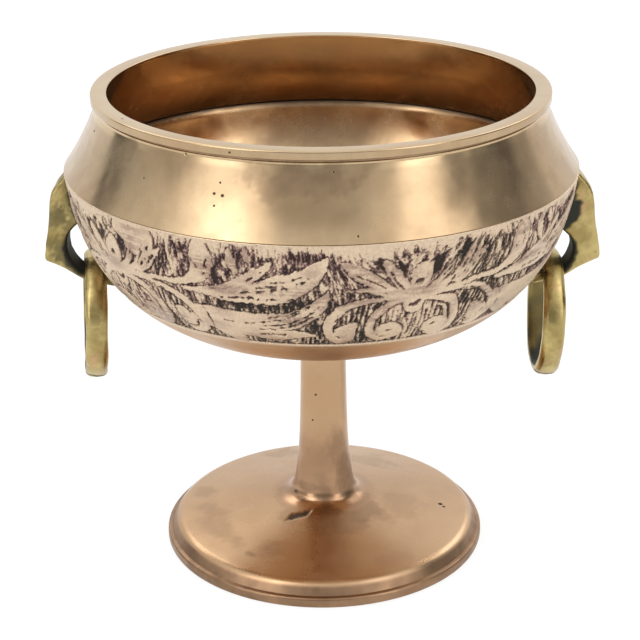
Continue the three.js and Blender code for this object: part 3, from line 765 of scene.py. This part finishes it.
CAST_LOOK = cast("handle_cast")


# The bowl
def shoulder_curve(neck, edge, steps):
    """The shoulder's slope, hollowed a little between its two ends."""
    neck, edge = np.array(neck), np.array(edge)
    run = (edge - neck) / np.linalg.norm(edge - neck)
    inward = np.array([run[1], -run[0]])
    return bezier([neck, (neck + edge) / 2 + inward * SHOULDER_HOLLOW, edge], steps)


def basin_curve(wall, bottom, steps=200):
    """The basin's outside for a wall of 0, and its inside for its real wall."""
    controls = [
        (WIDEST_RADIUS - wall, WIDEST_HEIGHT),
        (WIDEST_RADIUS - wall - BASIN_SIDE_IN, WIDEST_HEIGHT - BASIN_SIDE_DROP + wall),
        (STEM_TOP_RADIUS + BASIN_BELLY_REACH - wall, bottom + BASIN_BELLY_RISE),
        (SEAT_RADIUS, bottom),
    ]
    return bezier(controls, steps)


def by_arc(curve, distances):
    """Points and outward normals of a curve at distances along it, in millimetres."""
    steps = np.linalg.norm(np.diff(curve, axis=0), axis=1)
    arc = np.concatenate([[0], np.cumsum(steps)])
    points = np.stack([np.interp(distances, arc, curve[:, k]) for k in (0, 1)], -1)
    tangent = np.gradient(points, axis=0)
    tangent /= np.linalg.norm(tangent, axis=1)[:, None]
    return points, np.stack([-tangent[:, 1], tangent[:, 0]], -1)


# Grey smudges on the shoulder, and across the front middle, from -13 to 3 degrees, wide patches
# of painted dark reflection: degrees from the front, height, half sizes, strength
SHOULDER_SMUDGES_AND_REFLECTIONS = [
    (-51.5, 114.5, 3.5, 3, 0.55), (-52.5, 109, 3.5, 4, 0.42), (-53, 104, 3.5, 3, 0.3),
    (-38, 115.5, 8, 1.2, 0.3), (-33, 113, 3, 1.6, 0.22), (-29.5, 110.5, 3, 1.6, 0.2),
    # painted dark reflection across the front middle
    (-4, 115.5, 16, 1.6, 0.32), (-13, 112.5, 7, 3, 0.15), (3, 111, 9, 3, 0.12),
    (30, 115.5, 7, 1.4, 0.22), (34, 112.5, 2.5, 1.5, 0.2), (46.5, 114, 3.8, 1.7, 0.75),
    (49, 108.5, 3, 4, 0.5), (46, 104.8, 3.5, 2, 0.3), (56, 110, 5, 5, 0.12),
    (120, 110, 14, 3, 0.3), (170, 113, 8, 2.5, 0.35), (-150, 107, 10, 3, 0.3), (-100, 112, 5, 3, 0.3),
    # the first of these is painted dark reflection across the front middle
    (-5, 113.5, 16, 4, 0.6), (48, 109, 6, 8, 0.2), (-25, 113.5, 4, 2, 0.2), (60, 115, 8, 2, 0.3),
]


def shoulder_outline():
    """From the lap at the widest edge up the outside, over the rim and down the inside."""
    mouth = RIM_RADIUS - RIM_FACE_WIDTH
    inside_edge = WIDEST_RADIUS - WALL
    lap = WIDEST_RADIUS - WALL / 2
    outside = shoulder_curve((LEDGE_RADIUS, SHOULDER_TOP), (WIDEST_RADIUS, WIDEST_HEIGHT), 60)[::-1]
    inside = shoulder_curve((mouth, RIM_HEIGHT - 0.5), (inside_edge, LAP_BOTTOM + SEAM), 60)
    corners = [(inside_edge + SEAM, LAP_BOTTOM, 0), (lap, LAP_BOTTOM, 0), (lap, WIDEST_HEIGHT, 0),
               (WIDEST_RADIUS - SEAM, WIDEST_HEIGHT, 0)]
    corners += [(*p, 0) for p in outside[1:-1]]
    corners += [(LEDGE_RADIUS, SHOULDER_TOP, 0.2), (LEDGE_RADIUS, LEDGE_HEIGHT, 0.15),
                (NECK_RADIUS, LEDGE_HEIGHT, 0.12), (NECK_RADIUS, LIP_BOTTOM, 0.12),
                (RIM_RADIUS, LIP_BOTTOM, 0.35), (RIM_RADIUS, RIM_HEIGHT, 0.4), (mouth, RIM_HEIGHT, 0.3)]
    corners += [(*p, 0) for p in inside]
    return rounded(corners)


def make_shoulder():
    collar = turned_piece("shoulder_collar", shoulder_outline(), SHOULDER_LOOK,
                          ["shoulder"])
    points, normals = points_of(collar)
    height = points[:, 2]
    _, radius = around(points)
    inward = -(normals[:, :2] * points[:, :2]).sum(1) / radius
    inside = smooth(inward, 0.1, 0.5) * smooth(radius, 62, 61)
    store(collar, "deep", inside)
    # grey smudges, and painted dark reflection across the front middle
    smudges_and_reflection = blotches(points, height, SHOULDER_SMUDGES_AND_REFLECTIONS, 51) * (1 - inside)
    groove = smooth(np.abs(height - LIP_BOTTOM + 0.35), 0.5, 0.2) * smooth(inward, 0.2, -0.2)
    joint = smooth(height, LAP_BOTTOM + 0.45, LAP_BOTTOM + 0.1) * smooth(radius, 61.5, 60.5)
    seam = smooth(height, WIDEST_HEIGHT + 0.3, WIDEST_HEIGHT + 0.1) * smooth(radius, 61, 61.5)
    lip = smooth(radius, 54.3, 54.8) * smooth(height, RIM_HEIGHT, RIM_HEIGHT - 0.5)
    store(collar, "tarnish_and_shade", np.max([smudges_and_reflection, 0.9 * groove, 1.6 * joint, 1.4 * seam, 0.34 * lip], axis=0))


# Stains on the basin's outside, and inside it at the back darker patches, which are painted dark
# reflection: degrees from the front, distance from the axis, half sizes, strength
BASIN_STAINS = [
    (48, 38, 24, 14, 0.35), (-60, 40, 12, 5, 0.2), (140, 38, 12, 8, 0.3), (-150, 36, 12, 4, 0.25),
    (200, 25, 30, 8, 0.25),
]
INSIDE_DARK_REFLECTIONS = [(180, 54, 20, 12, 0.4), (-150, 52, 7, 8, 0.2), (145, 56, 6, 6, 0.15)]


def make_band(outer):
    """The etched band. Its ornament is cut into the mesh, BAND_DEPTH deep at most."""
    rows = np.linspace(0, BAND_WIDTH, BAND_ROWS + 1)
    face, normal = by_arc(outer, rows)
    back = (face - normal * BAND_THICKNESS)[::-BAND_BACK_STEP]
    outline = np.vstack([face[::-1], back[::-1]])
    grid = turned_grid(outline, BAND_COLUMNS)
    angles = np.arange(BAND_COLUMNS) * 360 / BAND_COLUMNS
    angle, drop = np.meshgrid(angles, rows, indexing="ij")
    relief, wash = ornament(angle, drop)
    dip = (BAND_DEPTH * (1 - relief))[:, ::-1]
    turn = np.radians(angles)[:, None]
    inward = normal[::-1][None, :, :]
    span = slice(0, BAND_ROWS + 1)
    grid[:, span, 0] -= dip * inward[..., 0] * np.sin(turn)
    grid[:, span, 1] += dip * inward[..., 0] * np.cos(turn)
    grid[:, span, 2] -= dip * inward[..., 1]
    vertices, faces, uvs, used = turned_faces(grid, outline)
    band = piece("etched_band", vertices, faces, uvs, ETCHED_LOOK, "bowl", ["basin"])
    for name, on_back, on_face in (("relief", 1, relief), ("wash", 0, wash)):
        values = np.full(grid.shape[:2], on_back, float)
        values[:, span] = on_face[:, ::-1]
        store(band, name, values.reshape(-1)[used])


def make_basin():
    """The basin's body, with the place under the band hollowed out, and the band on it."""
    outer = basin_curve(0, SEAT_HEIGHT)
    make_band(outer)
    crescent, _ = by_arc(outer, np.linspace(BAND_WIDTH, BASIN_OUTSIDE_LENGTH, 60))
    hidden, hidden_normal = by_arc(outer, np.linspace(0.4, BAND_WIDTH - 0.2, 30))
    hidden = (hidden - hidden_normal * (BAND_THICKNESS - 0.15))[::-1]
    floor = SEAT_HEIGHT + FLOOR_THICKNESS
    inner = basin_curve(WALL, floor, 90)
    inner = inner[inner[:, 1] < LAP_BOTTOM - 0.5]
    lap = WIDEST_RADIUS - WALL / 2 + 0.1
    bore_top = SEAT_HEIGHT + BASIN_STUD_HOLE
    start = [(0, bore_top), (STUD_BORE_RADIUS, bore_top), (STUD_BORE_RADIUS, SEAT_HEIGHT),
             (SEAT_RADIUS, SEAT_HEIGHT)]
    rim = [(hidden[-1, 0], WIDEST_HEIGHT - 0.2), (lap, WIDEST_HEIGHT - 0.2), (lap, LAP_BOTTOM),
           (WIDEST_RADIUS - WALL + SEAM, LAP_BOTTOM), (WIDEST_RADIUS - WALL, LAP_BOTTOM - 0.15)]
    outline = np.vstack([start, crescent[::-1], hidden, rim, inner, [(0, floor)]])
    body = turned_piece("basin_body", outline, BASIN_LOOK, ["basin"])
    points, normals = points_of(body)
    height = points[:, 2]
    _, radius = around(points)
    facing_in = normals[:, 2] - (normals[:, :2] * points[:, :2]).sum(1) / np.maximum(radius, 0.01)
    inside = smooth(facing_in, -0.2, 0.2) * smooth(height, floor - 0.4, floor - 0.1)
    store(body, "deep", inside)
    store(body, "dull", 1 - inside)
    line = smooth(height, LAP_BOTTOM - 0.5, LAP_BOTTOM - 0.2) * inside
    dark_patches = blotches(points, radius, BASIN_STAINS, 61) * (1 - inside)
    # inside at the back: painted dark reflection
    dark_patches += blotches(points, radius, INSIDE_DARK_REFLECTIONS, 63) * inside
    store(body, "tarnish_and_shade", np.maximum(1.6 * line, dark_patches))


# A gouge in the foot near the stem: degrees from the front, distance from the axis, how far it
# runs outwards for each millimetre to the left, and depth
GOUGE_ANGLE = -27
GOUGE_RADIUS = 14.2
GOUGE_LEAN = 0.85
GOUGE_DEPTH = 0.18
# Stains on the stem, by height, and on the foot, by distance from the axis: degrees from the
# front, place, half sizes, strength. On the stem, those at heights 11.6, 11.8 and 15.2 round the
# flare's foot and the broad one at 17 on the right are painted dark reflection.
STEM_STAINS_AND_REFLECTIONS = [
    (37, 26, 26, 6, 0.5), (10, 27, 14, 2.5, 0.3), (55, 17, 34, 7, 0.75), (60, 45, 14, 14, 0.28),
    (-5, 18.5, 26, 2.6, 0.4), (-30, 15.2, 34, 1.3, 0.6), (-85, 40, 14, 16, 0.2), (3, 14.5, 9, 2.5, 0.5),
    # painted dark reflection: these break up the highlight round the flare's foot
    (2, 11.6, 9, 1.6, 0.75), (60, 11.8, 24, 2, 0.5), (-75, 11.8, 20, 2, 0.4),
    (170, 30, 30, 10, 0.4), (-12, 20, 50, 8, 0.3),
]
# (18, 17.5), (50, 18), (40, 15) and (75, 20) are painted shadow to the right of the stem's base
FOOT_STAINS_AND_SHADOW = [
    (18, 17.5, 26, 4.5, 0.35), (50, 18, 16, 4, 0.3), (-103, 33, 7, 3.5, 0.3), (-28, 29, 9, 3, 0.25),
    (-36, 15.5, 14, 2.5, 0.3), (5, 30, 12, 7, 0.12), (30, 33, 9, 2.5, 0.15), (150, 26, 14, 5, 0.3),
    (-160, 32, 10, 4, 0.3), (-35, 32, 2.4, 0.8, 0.6), (-30, 28.4, 2, 1, 0.5), (-70, 30, 22, 4, 0.35),
    (40, 15, 26, 4.5, 0.5), (75, 20, 20, 6, 0.25),
]


def pedestal_outline():
    """The stem and foot, from the hollow under the foot round its edge and up to the stud's bore."""
    land = FOOT_RADIUS - FOOT_LAND_WIDTH
    recess = STEM_FLARE_HEIGHT - FOOT_WALL
    bore_bottom = SEAT_HEIGHT - STUD_BORE_DEPTH
    # the flare that shows ends nearer the stem than the solid's, and lies inside it
    flare_end = (STEM_FLARE_RADIUS - 3.9, STEM_FLARE_HEIGHT + 3.2)
    flare = bezier([(STEM_WAIST_RADIUS, STEM_WAIST_HEIGHT),
                    (STEM_WAIST_RADIUS + 0.4, STEM_WAIST_HEIGHT - 9),
                    (STEM_FLARE_RADIUS - 4.5, STEM_FLARE_HEIGHT + 5.8), flare_end], 20)[::-1]
    side = bezier([(STEM_TOP_RADIUS, SEAT_HEIGHT),
                   (STEM_TOP_RADIUS, (SEAT_HEIGHT + STEM_WAIST_HEIGHT) / 2),
                   (STEM_WAIST_RADIUS, STEM_WAIST_HEIGHT)], 20)[::-1]
    ridge_top = (FOOT_RIDGE_RADIUS, FOOT_RIDGE_HEIGHT)
    slope = bezier([ridge_top, (STEM_FLARE_RADIUS, STEM_FLARE_HEIGHT)], SLOPE_ROWS)
    fillet = bezier([flare_end, (STEM_FLARE_RADIUS - 3.4, STEM_FLARE_HEIGHT + 1.2),
                     (STEM_FLARE_RADIUS - 2.2, STEM_FLARE_HEIGHT + 0.3),
                     slope[-ROWS_IN_FILLET]], 20)[::-1]
    ridge = rounded([(*slope[ROWS_IN_RIDGE], 0), (*ridge_top, 1.5),
                     (FOOT_STEP_RADIUS, FOOT_STEP_HEIGHT, 0)], 10)[::-1]
    corners = [(0, recess, 0), (9, recess, 2), (land - 0.8, FOOT_RIDGE_HEIGHT - FOOT_WALL, 0.8),
               (land, 0, 0.3), (FOOT_RADIUS, 0, 0.9), (FOOT_RADIUS, FOOT_FLANGE_HEIGHT, 1)]
    for line in (ridge[:-1], slope[ROWS_IN_RIDGE:-ROWS_IN_FILLET], fillet[:-1], flare[:-1], side):
        corners += [(*p, 0) for p in line]
    corners += [(STUD_BORE_RADIUS, SEAT_HEIGHT, 0), (STUD_BORE_RADIUS, bore_bottom, 0), (0, bore_bottom, 0)]
    return rounded(corners, 6)


def make_pedestal():
    foot = turned_piece("stem_and_foot", pedestal_outline(), FOOT_LOOK, ["pedestal"])
    points, normals = points_of(foot)
    height = points[:, 2]
    angle, radius = around(points)
    top = smooth(normals[:, 2], 0.2, 0.5)
    gouge_way = np.radians(angle - GOUGE_ANGLE) * radius
    gouge_line = gouge_way * GOUGE_LEAN + (radius - GOUGE_RADIUS)
    gouge_line = gouge_line + 0.35 * lumps(points, 1.6, 77)
    gouge = smooth(np.abs(gouge_way), 2.7, 1.6) * smooth(np.abs(gouge_line), 2, 0.7) * top
    groove = smooth(np.hypot(radius - FOOT_STEP_RADIUS, height - FOOT_STEP_HEIGHT), 0.7, 0.25)
    groove *= 0.3 + 0.6 * lumps(points, 14, 83)
    outer = smooth(radius, FOOT_RIDGE_RADIUS + 0.1, FOOT_STEP_RADIUS - 0.8)
    # the outer edge, from the ridge to the flange: tarnish, and painted dark reflection
    edge = 0.65 * outer
    edge *= 1 + 0.55 * lumps(points, 14, 71) + 0.15 * lumps(points, 2.5, 79)
    # stains on the stem, and painted dark reflection round the flare's foot and low on the right
    stem = blotches(points, height, STEM_STAINS_AND_REFLECTIONS, 73) * smooth(radius, 14, 11)
    # stains on the foot, and painted shadow to the right of the stem's base
    slope_stains_and_shadow = blotches(points, radius, FOOT_STAINS_AND_SHADOW, 75) * smooth(radius, 11, 14)
    store(foot, "tarnish_and_shade", np.max([1.6 * gouge, 0.75 * groove, edge, stem, slope_stains_and_shadow], axis=0))
    low_stem = smooth(height, 34, 24) * smooth(radius, 15, 11)
    # a deeper colour low on the stem, and on the outer edge, where with the tarnish it paints a dark
    # reflection
    store(foot, "deep", np.maximum(low_stem * (0.85 + 0.15 * lumps(points, 10, 81)), 0.85 * outer))
    store(foot, "dull", 0.35 * np.maximum(outer, smooth(radius, 9, 14)))
    moved = points - normals * (GOUGE_DEPTH * gouge)[:, None]
    foot.data.vertices.foreach_set("co", (moved * MM).ravel())


# The handles
def through(*points):
    """A smooth line through these points."""
    return stroke_line([(*p, 0) for p in points], 8)[:, :2]


# The upper part of each lug's eye; the right one is smaller
LUG_EYES = {
    "left": [(60, 74.4), (62, 77.2), (62.8, 80.6), (62, 84), (58.8, 87.2)],
    "right": [(59.7, 74.4), (61.2, 77), (61.7, 79.6), (60.6, 82.6), (58, 85)],
}


def lug_outline(side):
    """Side view of a lug: distance out from the bowl's axis and height."""
    back = through((62.4, 98.8), (65.2, 95.4), (66.3, 92.2), (66.9, 87), (67.9, 81.6), (68.3, 79))
    corner = bezier([(68.3, 79), (68.9, 76.6), (67.6, 76.5)], 6)
    under = through((67.6, 76.5), (63.6, 74.6), (58.8, 71.7), (52.6, 70.1), (46.2, 69.1))
    eye = through((47.5, 72.4), (52, 72.9), (57.5, 73.1), *LUG_EYES[side])
    wall = [(59.6, 91), (60.8, 96), (61.4, 98.8)]
    return np.vstack([back, corner[1:], under[1:], [(45.6, 69.4)], eye, wall])


def evaluated_mesh(made):
    """A new mesh of an object, with its modifiers or its curve's bevel."""
    view = bpy.context.evaluated_depsgraph_get()
    return bpy.data.meshes.new_from_object(made.evaluated_get(view))


def cast_lug(side):
    """Vertices, normals and faces of a lug on +X, in millimetres, with soft edges and a cast skin."""
    curve = bpy.data.curves.new("lug_curve", "CURVE")
    curve.dimensions = "2D"
    curve.fill_mode = "BOTH"
    outline = lug_outline(side)
    line = curve.splines.new("POLY")
    line.points.add(len(outline) - 1)
    for point, (x, y) in zip(line.points, outline):
        point.co = (x, y, 0, 1)
    line.use_cyclic_u = True
    curve.bevel_depth = LUG_EDGE_ROUND
    curve.bevel_resolution = 3
    curve.offset = -LUG_EDGE_ROUND
    curve.extrude = LUG_WIDTH / 2 - LUG_EDGE_ROUND
    blank = added("lug_blank", curve)
    solid = added("lug_solid", evaluated_mesh(blank))
    remesh = solid.modifiers.new("skin", "REMESH")
    remesh.mode = "VOXEL"
    remesh.voxel_size = LUG_GRID
    soft = solid.modifiers.new("soft", "SMOOTH")
    soft.iterations = LUG_SMOOTHING
    mesh = evaluated_mesh(solid)
    faces = [tuple(face.vertices) for face in mesh.polygons]
    bpy.data.objects.remove(blank)
    bpy.data.objects.remove(solid)
    points, normals = (vectors(mesh.vertices, name)[:, [0, 2, 1]] * (1, -1, 1) for name in ("co", "normal"))
    return points, normals, faces


# How far the dirt and painted shade reach round a lug's eye in millimetres, and the strength
# of the film all over it
LUG_EYE_DIRT_AND_SHADE = {"left": 3.3, "right": 2}
LUG_FILM = {"left": 0.5, "right": 0.15}
# The dark patch next to the basin: strength, distances from the basin where it fades out and where
# it is full, the height of its middle, and half the heights of its end and its core
LUG_PATCH = {"left": (0.5, 4.2, 0.8, 91, 4.5, 1), "right": (1, 4.4, 2.4, 88.2, 5, 3)}


def lug_tarnish_and_shade(points, normals, side, seed):
    """Painted shade in the eye and, with dirt, a little way round it; dark along the joint with the bowl."""
    x, y, z = points.T
    eye = through(*LUG_EYES[side])
    away = np.hypot(x[:, None] - eye[None, :, 0], z[:, None] - eye[None, :, 1]).min(1)
    uneven = lumps(points, 4.5, seed) + 0.5 * lumps(points, 1.6, seed + 5)
    low = smooth(z, 86, 80)
    # dirt on the front round the eye, and painted shade that widens the eye's dark inner wall
    front_rim = smooth(away + 0.3 * uneven, LUG_EYE_DIRT_AND_SHADE[side], 0.2) * low
    film = LUG_FILM[side] * smooth(uneven, -1.8, 0.4)
    # painted shade on the eye's inner wall
    inner_wall = smooth(away, 1.8, 0.8) * smooth(np.abs(normals[:, 1]), 0.9, 0.6)
    wall = basin_curve(0, SEAT_HEIGHT)
    surface = np.interp(z, wall[::-1, 1], wall[::-1, 0])
    gap = np.hypot(x, y) - surface + 0.5 * uneven
    joint = 0.85 * smooth(gap, 2.4, 0.3) * smooth(z, 99.5, 95)
    strength, fades, full, middle, end, core = LUG_PATCH[side]
    patch = strength * smooth(gap, fades, full) * smooth(np.abs(z - middle), end, core)
    return np.max([front_rim, inner_wall, joint, patch, film], axis=0)


def make_lug(side, sign, seed):
    """A lug with a cast skin; sign is 1 on +X and -1 on -X."""
    points, normals, faces = cast_lug(side)
    swell = 0.07 * lumps(points, 6, seed) + 0.03 * lumps(points, 2.2, seed + 1)
    skin = points + normals * swell[:, None]
    turn = np.array([sign, sign, 1])
    made = piece(side + "_cast_lug", skin * turn, faces, None, CAST_LOOK, "bowl",
                 [side + "_lug"])
    store(made, "tarnish_and_shade", lug_tarnish_and_shade(points, normals, side, seed))


# The rings are uneven castings, worn thinner where they hang, and domed outside
RING_THICKNESS = 0.96
RING_UNEVEN = 0.035
RING_WEAR = 0.075
RING_DOME = 0.7


def ring_tarnish(hanging, across, seed):
    """Darker on the inner face, most of all at its bottom and where the ring hangs on the lug."""
    below = -hanging[:, 2]
    inner = smooth(-across, 0.1, 0.6)
    uneven = 0.15 * lumps(hanging, 5, seed + 3)
    low = smooth(below + 8 * uneven, 9, 11.5)
    tarnish_and_shade = 0.12 + uneven + inner * (0.3 + 0.15 * smooth(below, -6, 8) + 0.4 * low)
    tarnish_and_shade += 0.5 * inner * smooth(hanging[:, 2], 9, 13)
    # dark casting flaws low on the outer face
    flaws = smooth(np.abs(hanging[:, 2] + 13.6 + 4 * uneven), 0.9, 0.2) * smooth(across, 0, 0.6)
    return tarnish_and_shade + 0.5 * flaws


def make_ring(side, sign, turn_deg, swing_deg, seed):
    """A ring that hangs in its lug's eye, turned about the upright and swung out a little."""
    half_depth, half_width = RING_SECTION_DEPTH / 2, RING_SECTION_WIDTH / 2
    middle = RING_RADIUS - half_depth
    near, far, soft = middle - half_depth, middle + half_depth, RING_SECTION_ROUND
    outline = rounded([(near, 0, 0), (near, -half_width, soft), (far, -half_width, soft), (far, 0, 0),
                       (far, half_width, soft), (near, half_width, soft), (near, 0.05, 0)], 8)
    vertices, faces, uvs, _ = turned_faces(turned_grid(outline, RING_SEGMENTS), outline)
    radial = np.hypot(vertices[:, 0], vertices[:, 1])
    across = (radial - middle) / half_depth
    swell = RING_THICKNESS + RING_UNEVEN * lumps(vertices, 9, seed)
    swell = swell - RING_WEAR * smooth(vertices[:, 1], 7, 13)
    dome = RING_DOME * smooth(across, 0, 1) * (vertices[:, 2] / half_width) ** 2
    vertices[:, :2] *= ((middle + (radial - middle) * swell - dome) / radial)[:, None]
    vertices[:, 2] *= swell
    hanging = vertices[:, [2, 0, 1]]
    swing, turn = math.radians(swing_deg), math.radians(turn_deg)
    out, along, up = hanging[:, 0], hanging[:, 1], hanging[:, 2] - middle
    swung = out * math.cos(swing) + up * math.sin(swing)
    x = swung * math.cos(turn) - along * math.sin(turn) + RING_HANG_RADIUS
    y = swung * math.sin(turn) + along * math.cos(turn)
    z = up * math.cos(swing) - out * math.sin(swing) + RING_HANG_HEIGHT
    placed = np.stack([x * sign, y * sign, z], -1)
    made = piece(side + "_cast_ring", placed, faces, uvs, CAST_LOOK,
                 side + "_ring_body", [side + "_ring"])
    store(made, "tarnish_and_shade", ring_tarnish(hanging, across, seed))


make_shoulder()
make_basin()
make_pedestal()
make_lug("left", -1, 11)
make_lug("right", 1, 21)
make_ring("left", -1, 8.5, -2.5, 31)
make_ring("right", 1, 1, 2, 41)
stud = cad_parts["stem_stud"].data
stud.materials.clear()
stud.materials.append(FOOT_LOOK)


# Floor, light and camera
def seen_plainly(paint):
    """1 for the rays that should see the white studio floor: from the camera, glossy and clear ones."""
    path = paint.node("LightPath", {}).outputs
    mirrored = paint.math("MAXIMUM", path["Is Camera Ray"], path["Is Glossy Ray"])
    return paint.math("MAXIMUM", mirrored, path["Is Transmission Ray"])


def make_floor():
    mesh = bpy.data.meshes.new("floor")
    size = FLOOR_HALF_SIZE
    mesh.from_pydata([(-size, -size, 0), (size, -size, 0), (size, size, 0), (-size, size, 0)], [],
                     [(0, 1, 2, 3)])
    floor = added("floor", mesh)
    material = bpy.data.materials.new("floor_white")
    material.use_nodes = True
    paint = Nodes(material.node_tree)
    matt = paint.tree.nodes["Principled BSDF"]
    paint.link(FLOOR_COLOUR, matt.inputs["Base Color"])
    paint.link(FLOOR_ROUGHNESS, matt.inputs["Roughness"])
    shade = paint.node("BsdfDiffuse", {"Color": FLOOR_SHADE})
    glow = paint.node("Emission", {"Strength": FLOOR_GLOW})
    white = paint.node("AddShader", {0: shade.outputs["BSDF"], 1: glow.outputs["Emission"]})
    both = paint.node("MixShader", {0: seen_plainly(paint), 1: matt.outputs["BSDF"],
                                    2: white.outputs["Shader"]})
    paint.link(both.outputs["Shader"], paint.tree.nodes["Material Output"].inputs["Surface"])
    mesh.materials.append(material)


FLOOR_HALF_SIZE = 3
FLOOR_COLOUR = (0.85, 0.85, 0.85)
FLOOR_ROUGHNESS = 0.9
FLOOR_SHADE = (0.22, 0.22, 0.22)
FLOOR_GLOW = 0.82
STUDIO_LEVEL = 0.85
# The studio's soft panels and dark cards. Each one: middle in degrees from the front towards the
# right, half width, lowest and highest elevation, softness of its edges, brightness
PANELS = [
    (180, 60, -90, 90, 20, 1),
    (-164, 8, -20, -7, 6, 2.2),
    (162, 8, -20, -5, 6, 2.2),
    (-84, 14, 24, 75, 10, 1.05),
    (-84, 18, 0, 20, 6, 0.65),
    (-50, 15, 31, 75, 12, 2.3),
    (-33, 6, 40, 75, 12, 2),
    (-49, 5, 37, 55, 9, 4),
    (-2, 14, 0, 40, 14, 0.46),
    (3, 24, 48, 62, 8, 1.08),
    (-4, 20, 26, 40, 6, 0.66),
    (33, 6, 30, 65, 8, 1.05),
    (68, 9, 32, 66, 7, 2.3),
    (66, 5, 15, 30, 6, 0.35),
    (51, 7, 30, 60, 8, 2.4),
    (92, 12, -10, 46, 6, 0.3),
    (99, 5, 5, 20, 6, 0.08),
    (112, 5, 0, 30, 5, 0.5),
    (-113, 5, 0, 18, 4, 0.12),
    (0, 26, 4, 22, 5, 0.4),
    (-50, 8, 8, 22, 5, 2.5),
    (50, 8, 10, 26, 5, 2.5),
    (135, 12, 30, 50, 8, 3),
    (-142, 12, 38, 56, 8, 3),
    (180, 180, 70, 90, 6, 1),
]


def make_studio():
    world = bpy.data.worlds.new("studio")
    world.use_nodes = True
    studio = Nodes(world.node_tree)
    place = studio.node("TexCoord", {})
    split = studio.node("SeparateXYZ", {"Vector": place.outputs["Generated"]}).outputs
    front = studio.math("MULTIPLY", split["Y"], -1, clamp=False)
    turned = studio.math("ARCTAN2", split["X"], front)
    height = studio.math("ARCSINE", split["Z"])
    level = STUDIO_LEVEL
    for middle, half, low, high, soft, brightness in PANELS:
        away = studio.math("SUBTRACT", turned, math.radians(middle), clamp=False)
        away = studio.math("ARCCOSINE", studio.math("COSINE", away))
        share = studio.ranged(away, math.radians(half + soft), math.radians(half))
        for edge, outside in ((low, low - soft), (high, high + soft)):
            inside = studio.ranged(height, math.radians(outside), math.radians(edge))
            share = studio.math("MULTIPLY", share, inside)
        level = studio.blend(share, level, brightness)
    lens = studio.node("LightPath", {})
    background = studio.tree.nodes["Background"]
    studio.link(studio.blend(lens.outputs["Is Camera Ray"], level, 1), background.inputs["Strength"])
    studio.link((1, 1, 1), background.inputs["Color"])
    bpy.context.scene.world = world


def make_camera():
    lens = bpy.data.cameras.new("camera")
    lens.lens = CAMERA_LENS
    lens.shift_x = CAMERA_SHIFT_X
    camera = added("camera", lens)
    camera.location = (CAMERA_ASIDE, -CAMERA_BACK, CAMERA_HEIGHT)
    tilt = Euler((math.radians(90 - CAMERA_TILT_DOWN_DEG), 0, 0)).to_matrix()
    roll = Euler((0, 0, math.radians(CAMERA_ROLL_DEG))).to_matrix()
    camera.rotation_euler = (tilt @ roll).to_euler()
    bpy.context.scene.camera = camera


make_floor()
make_studio()
make_camera()
bpy.context.scene.view_settings.view_transform = "Standard"
